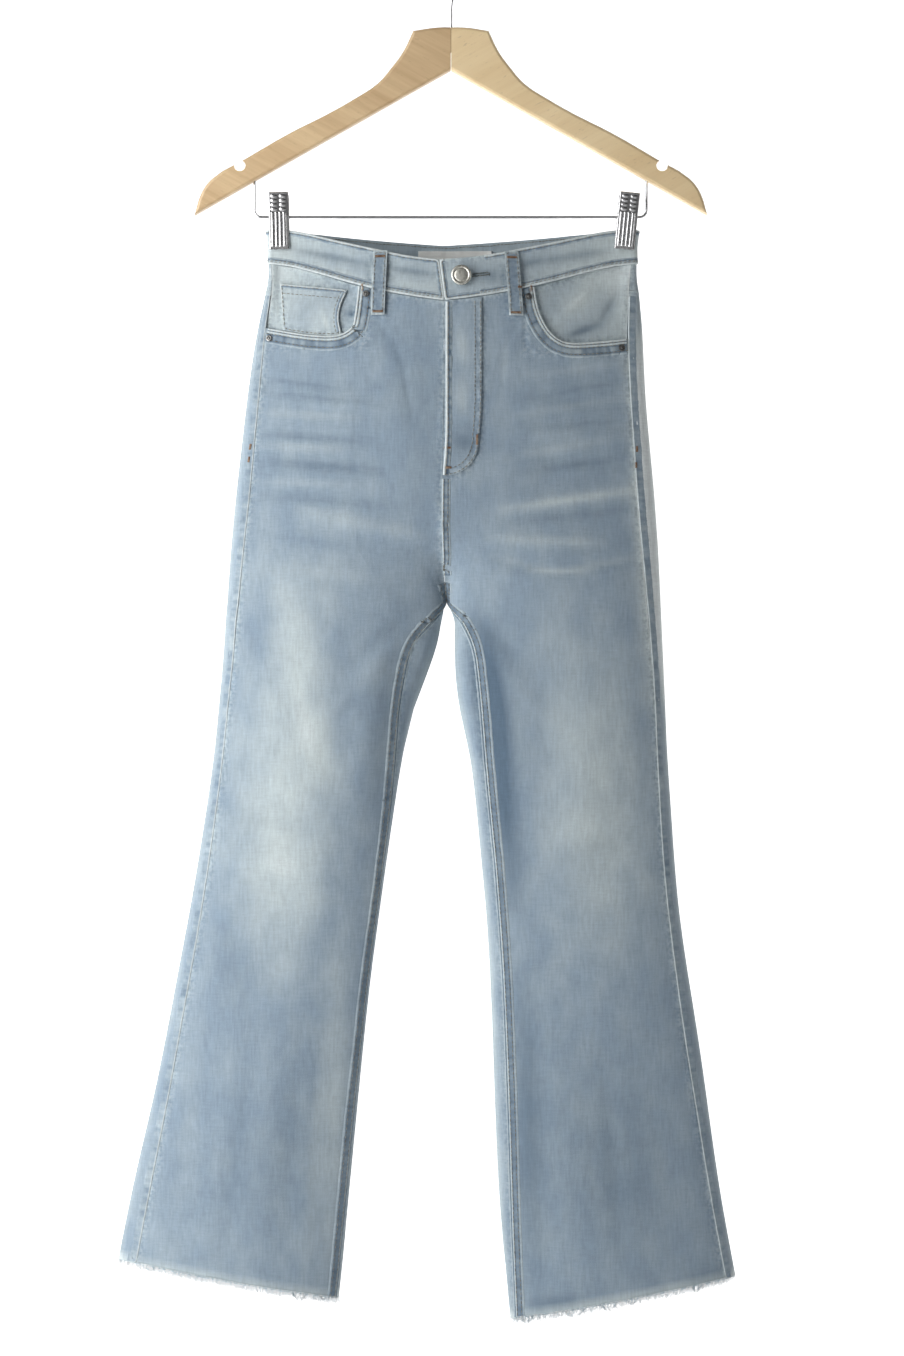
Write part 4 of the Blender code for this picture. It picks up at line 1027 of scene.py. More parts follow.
def spot_on_cloth(face, x, z):
    """The outermost cloth at one place of the front or back view, and its normal."""
    sign = -1 if face == "front" else 1
    best = None
    for node in dressed:
        hit, normal, _, _ = outer_tree(node).ray_cast(
            Vector((x, sign * OUTSIDE, z)), Vector((0, -sign, 0)))
        if hit and normal.y * sign > 0 and (best is None or hit.y * sign > best[0].y * sign):
            best = (hit, normal)
    if best is None:
        raise ValueError(f"there is no cloth at {x:.3f}, {z:.3f} on the {face}")
    return best


def bar_tack(face, x, z, angle, length):
    """Short threads side by side, across a line of the given length and angle."""
    along = Vector((math.cos(math.radians(angle)), 0, math.sin(math.radians(angle))))
    count = max(int(length / TACK_PITCH), 3)
    places = []
    for i in range(count):
        centre = Vector((x, 0, z)) + along * length * ((i + 0.5) / count - 0.5)
        hit, normal = spot_on_cloth(face, centre.x, centre.z)
        places.append((hit + normal * ON_CLOTH, normal.cross(along).normalized(), normal))
    return places


def model_stitch():
    """One stitch, long in X, as a low rounded thread."""
    size = settings()
    bpy.ops.object.select_all(action="DESELECT")
    bpy.ops.mesh.primitive_uv_sphere_add(segments=6, ring_count=4, radius=0.5,
                                         rotation=(0, math.pi / 2, 0))
    stitch = bpy.context.object
    stitch.scale = (size.stitch_width, size.stitch_width, size.stitch_length)
    bpy.ops.object.transform_apply(location=True, rotation=True, scale=True)
    return stitch


def repeat_mesh(name, model, places, stretch=1.0):
    """Many copies of a small model joined in one mesh, each turned to its direction and normal."""
    base = coordinates(model.data) * (stretch, 1.0, 1.0)
    faces = [tuple(face.vertices) for face in model.data.polygons]
    points, all_faces = [], []
    for i, (place, along, normal) in enumerate(places):
        across = normal.cross(along).normalized()
        normal = along.cross(across)
        turned = np.array((along, across, normal))
        points.append(base @ turned + np.array(place))
        all_faces.extend(tuple(index + i * len(base) for index in face) for face in faces)
    mesh = bpy.data.meshes.new(name)
    mesh.from_pydata(np.concatenate(points).tolist(), [], all_faces)
    mesh.shade_smooth()
    return mesh


class JEANS_OT_stitches(bpy.types.Operator):
    """Sew the rows of topstitching"""
    bl_idname = "jeans.stitches"
    bl_label = "Topstitching"

    def execute(self, context):
        pitch = settings().stitch_length * STITCH_GAP
        stitch = model_stitch()
        rows = {"front": [], "waist": [], "back": []}
        for name, band, insets in SEAMS:
            part = STITCH_PARTS.get(name, "front")
            line = edge_line(EDGES[name])
            for inset in insets:
                height = np.interp(inset, [row[0] for row in BANDS[band]],
                                   [row[1] for row in BANDS[band]]) * MM
                rows[part] += stitch_places(line, inset * MM, pitch, height + ON_BAND)
        for inset in FLY_ROWS:
            rows["front"] += stitch_places(edge_line(EDGES["fly_curve"]), inset * MM, pitch)
        for name, insets in COIN_ROWS:
            for inset in insets:
                rows["front"] += stitch_places(edge_line(EDGES[name]), inset * MM, pitch)
        rows["waist"] += inside_row("waist_top", INSIDE_ROW * MM, pitch * INSIDE_GAP)
        for name, insets in STITCHED_PIECES.items():
            part = "front" if "front" in name else "back"
            for inset in insets:
                rows[part] += round_piece(name, inset * MM, pitch)
        for part, places in rows.items():
            mesh = repeat_mesh(part + "_topstitching", stitch, places)
            add_piece(part + "_topstitching", mesh, thread_material("topstitch_thread"))
        tacks = []
        for face, spots in TACKS.items():
            for spot in spots:
                tack = row_values(spot, TACK_COLUMNS)
                tacks += bar_tack(face, tack["x"] * MM, tack["z"] * MM, tack["angle"],
                                  tack["length"] * MM)
        mesh = repeat_mesh("bar_tacks", stitch, tacks, TACK_STRETCH)
        add_piece("bar_tacks", mesh, thread_material("tack_thread"))
        bpy.data.objects.remove(stitch)
        return {"FINISHED"}


def round_piece(node, inset, pitch):
    """Stitches all round a small piece, such as a pocket or a belt loop."""
    shell = dressed[node]
    mesh = shell["piece"].data
    ring = shell["loops"][0]
    middle = ring[len(ring) // 2]
    spots = [tuple(np.array(mesh.vertices[i].co) / MM) for i in (ring[0], ring[-1], middle)]
    return stitch_places(edge_line((node, *spots)), inset, pitch)


def inside_row(name, inset, pitch):
    """Stitches of a row as they show on the inside of the back."""
    line = edge_line(EDGES[name])
    shell = dressed[line["node"]]
    mesh = shell["piece"].data
    faces = [tuple(face.vertices) for face in mesh.polygons]
    tree = BVHTree.FromPolygons([vert.co for vert in mesh.vertices], faces)
    places = []
    for place, along, normal in stitch_places(line, inset, pitch, -ON_CLOTH):
        if normal.y < BACK_FACING:
            continue
        hit, inner_normal, _, _ = tree.ray_cast(place, -normal)
        if hit:
            places.append((hit + inner_normal * ON_INSIDE, along, inner_normal))
    return places


class JEANS_OT_fray(bpy.types.Operator):
    """Unravel the raw hems into short loose threads"""
    bl_idname = "jeans.fray"
    bl_label = "Hem fray"

    def execute(self, context):
        for side in SIDES:
            draw = random.Random(side)
            threads = []
            for node in ("front_panel_" + side, "back_panel_" + side):
                threads += hem_threads(node, draw)
            points, faces = [], []
            for path, width in threads:
                add_thread(points, faces, path, width)
            mesh = bpy.data.meshes.new("hem_threads_" + side)
            mesh.from_pydata(points, [], faces)
            turn_outwards(mesh)
            mesh.shade_smooth()
            piece = add_piece("hem_threads_" + side, mesh, loose_material())
            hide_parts("hem_fray_" + side)
        return {"FINISHED"}


def hem_threads(node, draw):
    """Paths and widths of the loose threads along one panel's raw hem."""
    shell = dressed[node]
    points = coordinates(shell["piece"].data)[shell["loops"][0]]
    hem = points[hem_distance(points) < HEM_REACH]
    hem = hem[np.argsort(hem[:, 0])]
    outwards = -1 if "front" in node else 1
    threads = straight_threads(hem, outwards, draw)
    return threads + curled_threads(hem, outwards, CURLS[node], draw)


def spot_on_hem(hem, x):
    return Vector([float(np.interp(x, hem[:, 0], hem[:, i])) for i in range(3)])


def straight_threads(hem, outwards, draw):
    """Short threads close together along a hem, in tufts, with a few long ones."""
    length = settings().fray_length
    threads = []
    x = hem[0, 0]
    while x < hem[-1, 0]:
        x += FRAY_PITCH * draw.uniform(*FRAY_PITCHES)
        start = spot_on_hem(hem, x)
        tuft = 0.5 + 0.5 * noise.noise(start * TUFT_GRAIN)
        reach = length * draw.uniform(*FRAY_LENGTHS) * (TUFT_LEAST + TUFT_MORE * tuft)
        if draw.random() < LONG_SHARE:
            reach *= draw.uniform(*LONG_LENGTHS)
        lean = draw.gauss(*FRAY_LEAN)
        bend = draw.gauss(*FRAY_BEND)
        out = draw.uniform(*FRAY_OUT) * outwards
        path = []
        for i in range(FRAY_POINTS):
            s = i / (FRAY_POINTS - 1)
            sideways = reach * (lean * s + bend * s * s)
            off = outwards * FRAY_OFF_WALL + reach * out * s
            up = FRAY_ROOT * (1 - s) - reach * s * (1 - FRAY_DROOP * s)
            path.append(start + Vector((sideways, off, up)))
        threads.append((path, draw.uniform(*FRAY_WIDTHS) * FRAY_WIDTH))
    return threads


def curled_threads(hem, outwards, curls, draw):
    """Rolled tufts whose threads start and end on a hem and hang down between."""
    threads = []
    for share, width, drop in curls:
        x = hem[0, 0] + share * (hem[-1, 0] - hem[0, 0])
        for _ in range(CURL_THREADS):
            wide = width * draw.uniform(*CURL_WIDTHS)
            deep = drop * draw.uniform(*CURL_DROPS)
            path = []
            for i in range(CURL_POINTS):
                s = i / (CURL_POINTS - 1)
                spot = spot_on_hem(hem, x + wide * (s - 0.5) + draw.gauss(0, CURL_SPREAD))
                arc = math.sin(math.pi * s)
                path.append(spot + Vector((0, outwards * CURL_OUT * arc, CURL_UP - deep * arc)))
            threads.append((path, FRAY_WIDTH * CURL_THICK))
    return threads


def add_thread(points, faces, path, width):
    """A thin three-sided thread along a path, finer at its end."""
    first = len(points)
    for i, place in enumerate(path):
        radius = width * (1 - THREAD_TAPER * i / (len(path) - 1)) / 2
        for j in range(3):
            angle = math.tau * j / 3
            points.append(place + Vector((radius * math.cos(angle), radius * math.sin(angle), 0)))
    for i in range(len(path) - 1):
        for j in range(3):
            k = (j + 1) % 3
            faces.append((first + 3 * i + j, first + 3 * i + k, first + 3 * i + 3 + k,
                          first + 3 * i + 3 + j))
    last = first + 3 * (len(path) - 1)
    faces.append((first, first + 2, first + 1))
    faces.append((last, last + 1, last + 2))


def turned_piece(rings, sides):
    """A round piece built up from its back to its crown, each ring a radius and a height."""
    bpy.ops.object.select_all(action="DESELECT")
    bpy.ops.mesh.primitive_circle_add(vertices=sides, radius=rings[0][0] * MM,
                                      fill_type="NGON", location=(0, 0, rings[0][1] * MM))
    piece = bpy.context.object
    bpy.ops.object.mode_set(mode="EDIT")
    bpy.ops.mesh.select_all(action="SELECT")
    for (radius, height), (next_radius, next_height) in zip(rings, rings[1:]):
        rise = (0, 0, (next_height - height) * MM)
        bpy.ops.mesh.extrude_region_move(TRANSFORM_OT_translate={"value": rise})
        ratio = next_radius / radius
        bpy.ops.transform.resize(value=(ratio, ratio, 1))
    bpy.ops.mesh.select_all(action="SELECT")
    bpy.ops.mesh.normals_make_consistent(inside=False)
    bpy.ops.object.mode_set(mode="OBJECT")
    bpy.ops.object.transform_apply(location=True, rotation=True, scale=True)
    bpy.ops.object.shade_smooth_by_angle(angle=RIM_ANGLE)
    return piece


def seat(model, name, place, normal, finish):
    """A copy of a round model set on a place with its crown along a direction, in for a node."""
    mesh = model.data.copy()
    turn = Vector(normal).to_track_quat("Z", "Y").to_matrix().to_4x4()
    mesh.transform(Matrix.Translation(place) @ turn)
    piece = add_piece(name + "_turned", mesh, finish)
    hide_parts(name)


class JEANS_OT_trims(bpy.types.Operator):
    """Set the button and its buttonhole, and the rivets"""
    bl_idname = "jeans.trims"
    bl_label = "Button and rivets"

    def execute(self, context):
        low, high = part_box("button")
        place = Vector(((low[0] + high[0]) / 2, high[1], (low[2] + high[2]) / 2))
        button = turned_piece(BUTTON_RINGS, BUTTON_SIDES)
        seat(button, "button", place, BUTTON_FACES, metal_material("worn_nickel"))
        bpy.data.objects.remove(button)
        rivet = turned_piece(RIVET_RINGS, RIVET_SIDES)
        for side in SIDES:
            for spot in ("inner", "outer"):
                name = f"rivet_{side}_{spot}"
                low, high = (Vector(corner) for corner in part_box(name))
                middle = (low + high) / 2
                hit, normal = spot_on_cloth("front", middle.x, middle.z)
                seat(rivet, name, hit + normal * RIVET_UP, normal,
                     metal_material("dark_rivet"))
        bpy.data.objects.remove(rivet)
        stitch = model_stitch()
        purl = []
        for offset, length in HOLE_ROWS:
            purl += bar_tack("front", HOLE_X * MM, (HOLE_Z + offset) * MM, HOLE_ANGLE, length * MM)
        across, up, length = HOLE_BAR
        purl += bar_tack("front", (HOLE_X + across) * MM, (HOLE_Z + up) * MM, 90, length * MM)
        mesh = repeat_mesh("buttonhole", stitch, purl, HOLE_STRETCH)
        add_piece("buttonhole", mesh, thread_material("hole_thread"))
        bpy.data.objects.remove(stitch)
        return {"FINISHED"}


def jaw_height(across, down):
    """How far the pressed grips of a clip's jaw stand out, at shares across and down it."""
    x = (across - 0.5) * JAW_WIDE
    z = down * JAW_TALL
    lift_up = np.zeros_like(x)
    for column in OVAL_COLUMNS:
        for row in OVAL_ROWS:
            away = np.sqrt(((x - column) / OVAL_WIDE) ** 2 + ((z - row) / OVAL_TALL) ** 2)
            lift_up += OVAL_UP * ease(OVAL_EDGE - away)
    for column in RIDGE_COLUMNS:
        side = np.sqrt(np.clip(1 - ((x - column) / RIDGE_WIDE) ** 2, 0, 1))
        ends = ease((z - RIDGE_TOP) / RIDGE_END) * ease((RIDGE_FOOT - z) / RIDGE_END)
        lift_up = np.maximum(lift_up, side * ends)
    rim = np.minimum(np.minimum(JAW_WIDE / 2 - np.abs(x), z), JAW_TALL - z)
    return lift_up - JAW_RIM_DROP * (1 - ease(rim / JAW_RIM))


def make_jaw(node, finish):
    """One jaw of a clip as a pressed plate, over the plain plate it stands for."""
    points = coordinates(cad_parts[node].data)
    facing = -1 if "front" in node else 1
    low, high = points.min(axis=0), points.max(axis=0)
    middle = Vector(((low[0] + high[0]) / 2, 0, (low[2] + high[2]) / 2))
    tilt = CLIP_TILTS[node.split("_")[1]]
    down = Vector((-math.sin(tilt), 0, -math.cos(tilt)))
    bpy.ops.object.select_all(action="DESELECT")
    bpy.ops.mesh.primitive_grid_add(x_subdivisions=JAW_STEPS[0], y_subdivisions=JAW_STEPS[1],
                                    size=1)
    piece = bpy.context.object
    grid = coordinates(piece.data)
    across, drop = grid[:, 0] + 0.5, 0.5 - grid[:, 1]
    heights = jaw_height(across, drop) * MM
    placed = np.empty_like(grid)
    side = Vector((math.cos(tilt), 0, -math.sin(tilt)))
    for i in range(len(grid)):
        spot = middle + side * (across[i] - 0.5) * JAW_WIDE * MM * JAW_FIT
        spot = spot + down * (drop[i] - 0.5) * JAW_TALL * MM * JAW_FIT
        plate = np.interp(drop[i] * JAW_TALL, JAW_DROPS, JAW_AWAY) * MM
        placed[i] = (spot.x, facing * (plate + heights[i]), spot.z)
    set_coordinates(piece.data, placed)
    apply_modifier(piece, "SOLIDIFY", thickness=JAW_SHEET, offset=0.0)
    piece.data.shade_smooth()
    turn_outwards(piece.data)
    mesh = piece.data.copy()
    bpy.data.objects.remove(piece)
    made = add_piece(node + "_pressed", mesh, finish)
    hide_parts(node)


def make_coil(node, finish):
    """A clip's spring as close rings of wire round the bar."""
    low, high = (Vector(corner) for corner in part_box(node))
    middle = (low + high) / 2
    rings = round((high.x - low.x) / COIL_PITCH)
    major = (high.z - low.z) / 2 - COIL_WIRE
    bpy.ops.object.select_all(action="DESELECT")
    bpy.ops.mesh.primitive_torus_add(major_radius=major, minor_radius=COIL_WIRE,
                                     major_segments=28, minor_segments=8,
                                     rotation=(0, math.pi / 2, 0))
    ring = bpy.context.object
    bpy.ops.object.transform_apply(location=True, rotation=True, scale=True)
    places = [(middle + Vector(((i - (rings - 1) / 2) * COIL_PITCH, 0, 0)), Vector((1, 0, 0)),
               Vector((0, 0, 1))) for i in range(rings)]
    made = add_piece(node + "_coil", repeat_mesh(node + "_coil", ring, places), finish)
    bpy.data.objects.remove(ring)
    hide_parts(node)


class JEANS_OT_hanger(bpy.types.Operator):
    """Finish the wooden arms and the wires, and press the clips' jaws and springs"""
    bl_idname = "jeans.hanger"
    bl_label = "Hanger and clips"

    def execute(self, context):
        for side in SIDES:
            set_finish("hanger_arm_" + side, beech_material(side))
            for part in ("front", "back"):
                make_jaw(f"clip_{side}_{part}", metal_material("plated_steel"))
            make_coil(f"clip_{side}_spring", metal_material("plated_steel"))
        for node in ("hanger_hook", "hanger_bar"):
            set_finish(node, metal_material("plated_steel"))
        return {"FINISHED"}


def set_finish(node, finish):
    """Give a solid that stays as it is its finish."""
    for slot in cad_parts[node].material_slots:
        slot.material = finish


def metal_material(name):
    """Metal with smears of wear in its colour, shine and surface."""
    found = bpy.data.materials.get(name)
    if found:
        return found
    dark, light, roughness = METAL_TONES[name]
    made, tree, shader = new_material(name, roughness, Metallic=1.0)
    wear = use_group(tree, wear_group(), {"Vector": object_vector(tree)})
    colour = mix_colour(tree, wear.outputs["Worn"], dark, light)
    tree.links.new(colour, shader.inputs["Base Color"])
    rough = math_node(tree, "MULTIPLY_ADD", wear.outputs["Worn"], -0.14, roughness + 0.10)
    tree.links.new(rough, shader.inputs["Roughness"])
    add_bump(tree, shader, wear.outputs["Fine"], 0.00005, 0.5)
    return made


def wear_group():
    """Smears and fine scratches of handled metal."""
    found = bpy.data.node_groups.get("metal_wear")
    if found:
        return found
    tree, start, end = new_group(
        "metal_wear", [("Vector", "NodeSocketVector", None)],
        [("Worn", "NodeSocketFloat"), ("Fine", "NodeSocketFloat")])
    vector = start.outputs["Vector"]
    smears = stretched_noise(tree, vector, (420, 420, 300), 4.0)
    tree.links.new(ramp(tree, smears, 0.32, 0.58), end.inputs["Worn"])
    tree.links.new(stretched_noise(tree, vector, (3000, 3000, 400), 2.0), end.inputs["Fine"])
    return tree


def beech_material(side):
    """Lacquered beech, darker on the arm at -X than on the arm at +X."""
    name = "lacquered_beech_" + side
    found = bpy.data.materials.get(name)
    if found:
        return found
    made, tree, shader = new_material(name, 0.42, Coat_Weight=0.35, Coat_Roughness=0.25)
    vector = object_vector(tree)
    dark, light, lean = BEECH_TONES[side]
    turned = add_node(tree, "ShaderNodeMapping", {"Vector": vector, "Rotation": (0, lean, 0)})
    grain = stretched_noise(tree, turned.outputs[0], (14, 260, 260), 4.0)
    flecks = stretched_noise(tree, turned.outputs[0], (160, 900, 900), 2.0)
    broad = stretched_noise(tree, turned.outputs[0], (5, 40, 40), 3.0)
    share = math_node(tree, "MULTIPLY_ADD", grain, 0.6, math_node(tree, "MULTIPLY", broad, 0.7))
    colour = mix_colour(tree, ramp(tree, share, 0.40, 0.90), dark, light)
    colour = mix_colour(tree, ramp(tree, flecks, 0.66, 0.74, top=0.35), colour, BEECH_FLECK)
    tree.links.new(colour, shader.inputs["Base Color"])
    add_bump(tree, shader, grain, 0.0002, 0.3)
    return made


def label_material():
    """Blank woven tape."""
    found = bpy.data.materials.get("label_tape")
    if found:
        return found
    made, tree, shader = new_material("label_tape", 0.7, Sheen_Weight=0.15)
    vector = object_vector(tree)
    weave = add_node(tree, "ShaderNodeTexWave",
                     {"Vector": vector, "Scale": 260.0, "Distortion": 0.6, "Detail": 1.0},
                     bands_direction="Z").outputs["Fac"]
    cloud = stretched_noise(tree, vector, (120, 120, 120), 3.0)
    share = math_node(tree, "MULTIPLY_ADD", weave, 0.35, math_node(tree, "MULTIPLY", cloud, 0.7))
    colour = mix_colour(tree, share, *LABEL_TONES)
    tree.links.new(colour, shader.inputs["Base Color"])
    add_bump(tree, shader, weave, 0.0002, 0.6)
    return made


def loose_material():
    """Bleached loose threads, some still pale blue."""
    found = bpy.data.materials.get("loose_thread")
    if found:
        return found
    made, tree, shader = new_material("loose_thread", 0.8, Sheen_Weight=0.3)
    share = stretched_noise(tree, object_vector(tree), (420, 420, 90), 2.0)
    colour = mix_colour(tree, ramp(tree, share, 0.36, 0.60), *LOOSE_TONES)
    tree.links.new(colour, shader.inputs["Base Color"])
    add_bump(tree, shader, stretched_noise(tree, object_vector(tree), (2400, 2400, 2400)),
             0.0001, 0.4)
    return made


def inside_material():
    """The paler inside of the denim, where more of the white weft shows."""
    found = bpy.data.materials.get("denim_inside")
    if found:
        return found
    made, tree, shader = new_material("denim_inside", 0.88, Sheen_Weight=0.15)
    grain = use_group(tree, denim_grain_group(), {"Vector": object_vector(tree)})
    share = math_node(tree, "MULTIPLY_ADD", grain.outputs["Mottle"], 0.5, grain.outputs["Shade"])
    colour = mix_colour(tree, share, *INSIDE_TONES)
    tree.links.new(colour, shader.inputs["Base Color"])
    add_bump(tree, shader, grain.outputs["Height"], 0.0003, 0.5)
    return made


def thread_material(name):
    """Twisted sewing thread, worn pale in places."""
    found = bpy.data.materials.get(name)
    if found:
        return found
    made, tree, shader = new_material(name, 0.7, Sheen_Weight=0.2)
    vector = object_vector(tree)
    worn = stretched_noise(tree, vector, (260, 260, 260), 3.0)
    colour = mix_colour(tree, ramp(tree, worn, 0.35, 0.65), *THREAD_TONES[name])
    tree.links.new(colour, shader.inputs["Base Color"])
    add_bump(tree, shader, stretched_noise(tree, vector, (2600, 2600, 2600)), 0.0001, 0.5)
    return made


def new_group(name, inputs, outputs):
    """An empty shader node group with named sockets."""
    tree = bpy.data.node_groups.new(name, "ShaderNodeTree")
    for label, kind, value in inputs:
        socket = tree.interface.new_socket(name=label, in_out="INPUT", socket_type=kind)
        if value is not None:
            socket.default_value = value
    for label, kind in outputs:
        tree.interface.new_socket(name=label, in_out="OUTPUT", socket_type=kind)
    return tree, tree.nodes.new("NodeGroupInput"), tree.nodes.new("NodeGroupOutput")


def add_node(tree, kind, inputs=(), **values):
    """A node with its settings and inputs, where an input is a value or another node's output."""
    node = tree.nodes.new(kind)
    for name, value in values.items():
        setattr(node, name, value)
    for key, value in dict(inputs).items():
        if isinstance(value, bpy.types.NodeSocket):
            tree.links.new(value, node.inputs[key])
        else:
            node.inputs[key].default_value = value
    return node


def math_node(tree, operation, first, second=0.0, third=0.0, clamp=False):
    """A sum on up to three values or other nodes' outputs."""
    node = add_node(tree, "ShaderNodeMath", {0: first, 1: second, 2: third},
                    operation=operation, use_clamp=clamp)
    return node.outputs[0]


def ramp(tree, value, low, high, bottom=0.0, top=1.0, **values):
    """A value spread so that it runs from the bottom at one number to the top at another."""
    node = add_node(tree, "ShaderNodeMapRange", {0: value, 1: low, 2: high, 3: bottom, 4: top},
                    **values)
    return node.outputs[0]


def mix_colour(tree, share, first, second):
    """A mix of two colours, which are the node's inputs 6 and 7."""
    node = add_node(tree, "ShaderNodeMix", {"Factor": share, 6: first, 7: second},
                    data_type="RGBA")
    return node.outputs[2]


def stretched_noise(tree, vector, scale, detail=2.0):
    """Noise whose grain has its own size along each axis, given as grains in a metre."""
    placed = add_node(tree, "ShaderNodeVectorMath", {0: vector, 1: scale}, operation="MULTIPLY")
    made = add_node(tree, "ShaderNodeTexNoise",
                    {"Vector": placed.outputs[0], "Scale": 1.0, "Detail": detail})
    return made.outputs[0]


def denim_grain_group():
    """Slubs of the warp, fine weft and twill lines of washed denim."""
    found = bpy.data.node_groups.get("denim_grain")
    if found:
        return found
    tree, start, end = new_group(
        "denim_grain", [("Vector", "NodeSocketVector", None)],
        [("Shade", "NodeSocketFloat"), ("Mottle", "NodeSocketFloat"),
         ("Height", "NodeSocketFloat")])
    vector = start.outputs["Vector"]
    warp = stretched_noise(tree, vector, (620, 620, 70))
    weft = stretched_noise(tree, vector, (110, 110, 760))
    fine = stretched_noise(tree, vector, (1500, 1500, 1500), 1.0)
    twill = add_node(tree, "ShaderNodeTexWave",
                     {"Vector": vector, "Scale": 640.0, "Distortion": 1.5, "Detail": 1.0},
                     bands_direction="DIAGONAL").outputs["Fac"]
    mottle = stretched_noise(tree, vector, (46, 46, 26), 4.0)
    both = math_node(tree, "ADD", math_node(tree, "MULTIPLY", warp, 0.5),
                     math_node(tree, "MULTIPLY", weft, 0.3))
    shade = math_node(tree, "ADD", both, math_node(tree, "MULTIPLY", fine, 0.2))
    height = math_node(tree, "ADD", shade, math_node(tree, "MULTIPLY", twill, 0.35))
    tree.links.new(shade, end.inputs["Shade"])
    tree.links.new(mottle, end.inputs["Mottle"])
    tree.links.new(height, end.inputs["Height"])
    return tree


def seam_roping_group():
    """Light and dark spots that washing leaves along a puckered seam."""
    found = bpy.data.node_groups.get("seam_roping")
    if found:
        return found
    tree, start, end = new_group(
        "seam_roping", [("Vector", "NodeSocketVector", None), ("Mask", "NodeSocketFloat", 0.0)],
        [("Light", "NodeSocketFloat"), ("Dark", "NodeSocketFloat")])
    spots = stretched_noise(tree, start.outputs["Vector"], (330, 330, 330), 1.0)
    light = ramp(tree, spots, 0.48, 0.66, interpolation_type="SMOOTHSTEP")
    dark = ramp(tree, spots, 0.52, 0.34, interpolation_type="SMOOTHSTEP")
    mask = start.outputs["Mask"]
    tree.links.new(math_node(tree, "MULTIPLY", light, mask), end.inputs["Light"])
    tree.links.new(math_node(tree, "MULTIPLY", dark, mask), end.inputs["Dark"])
    return tree


def use_group(tree, group, inputs):
    return add_node(tree, "ShaderNodeGroup", inputs, node_tree=group)


def new_material(name, roughness, **values):
    """A material with a Principled shader whose even values are set on its own sockets."""
    made = bpy.data.materials.new(name)
    made.use_nodes = True
    shader = made.node_tree.nodes["Principled BSDF"]
    shader.inputs["Roughness"].default_value = roughness
    for key, value in values.items():
        shader.inputs[key.replace("_", " ")].default_value = value
    return made, made.node_tree, shader


def object_vector(tree):
    return add_node(tree, "ShaderNodeTexCoord").outputs["Object"]


def add_bump(tree, shader, height, distance, strength):
    bump = add_node(tree, "ShaderNodeBump",
                    {"Height": height, "Distance": distance, "Strength": strength})
    tree.links.new(bump.outputs[0], shader.inputs["Normal"])


def denim_material():
    """Light-washed denim, made paler and darker by the masks painted on the cloth: its fades and
    deeper blue, and painted light and shade.
    """
    found = bpy.data.materials.get("washed_denim")
    if found:
        return found
    colours = bpy.context.scene.jeans_colours
    made, tree, shader = new_material("washed_denim", 0.86, Sheen_Weight=0.18, Sheen_Roughness=0.6)
    vector = object_vector(tree)
    grain = use_group(tree, denim_grain_group(), {"Vector": vector})
    # The painted masks: the denim's fades and deeper blue, with painted light and shade.
    painted = add_node(tree, "ShaderNodeAttribute", attribute_name="wash_and_shading")
    wash_and_shading = add_node(tree, "ShaderNodeSeparateColor", {0: painted.outputs["Color"]})
    roping = use_group(tree, seam_roping_group(), {"Vector": vector, "Mask": wash_and_shading.outputs[2]})
    mottle = math_node(tree, "MULTIPLY_ADD", grain.outputs["Mottle"], 0.80, -0.40)
    fade_and_highlight = math_node(tree, "ADD", wash_and_shading.outputs[0], mottle)
    fade_and_highlight = math_node(tree, "MULTIPLY_ADD", roping.outputs["Light"], 0.28, fade_and_highlight, clamp=True)
    # Darker towards the deep colour: deeper blue, painted shade and the roping's dark spots.
    deep = math_node(tree, "MULTIPLY_ADD", roping.outputs["Dark"], 0.30, wash_and_shading.outputs[1],
                     clamp=True)
    colour = mix_colour(tree, fade_and_highlight, (*colours.denim, 1), (*colours.faded_and_highlight, 1))
    colour = mix_colour(tree, deep, colour, (*colours.deep, 1))
    # Turn white where the cloth is palest: worn seam ridges with a painted highlight.
    whitening = math_node(tree, "MULTIPLY", painted.outputs["Alpha"], WHITE_SHARE)
    colour = mix_colour(tree, whitening, colour, (*colours.bleached_and_highlight, 1))
    bright = math_node(tree, "MULTIPLY_ADD", grain.outputs["Shade"], 0.80, 0.60)
    shaded = add_node(tree, "ShaderNodeVectorMath", {0: colour, "Scale": bright},
                      operation="SCALE")
    tree.links.new(shaded.outputs[0], shader.inputs["Base Color"])
    add_bump(tree, shader, grain.outputs["Height"], 0.0003, 0.5)
    return made


def stage_material():
    """Pale paper that glows of itself behind the garment and wherever the camera sees it."""
    found = bpy.data.materials.get("studio_paper")
    if found:
        return found
    made, tree, shader = new_material("studio_paper", 0.9, Emission_Strength=1.0)
    vector = object_vector(tree)
    grain = stretched_noise(tree, vector, (3, 3, 3))
    parts = add_node(tree, "ShaderNodeSeparateXYZ", {0: vector})
    behind = ramp(tree, parts.outputs[1], GLOW_FROM, GLOW_FULL)
    seen = add_node(tree, "ShaderNodeLightPath").outputs["Is Camera Ray"]
    shown = math_node(tree, "MAXIMUM", behind, seen)
    glow = mix_colour(tree, shown, (0, 0, 0, 1), PAPER_GLOW)
    tree.links.new(glow, shader.inputs["Emission Color"])
    tint = mix_colour(tree, grain, *PAPER_TONES)
    tree.links.new(tint, shader.inputs["Base Color"])
    return made


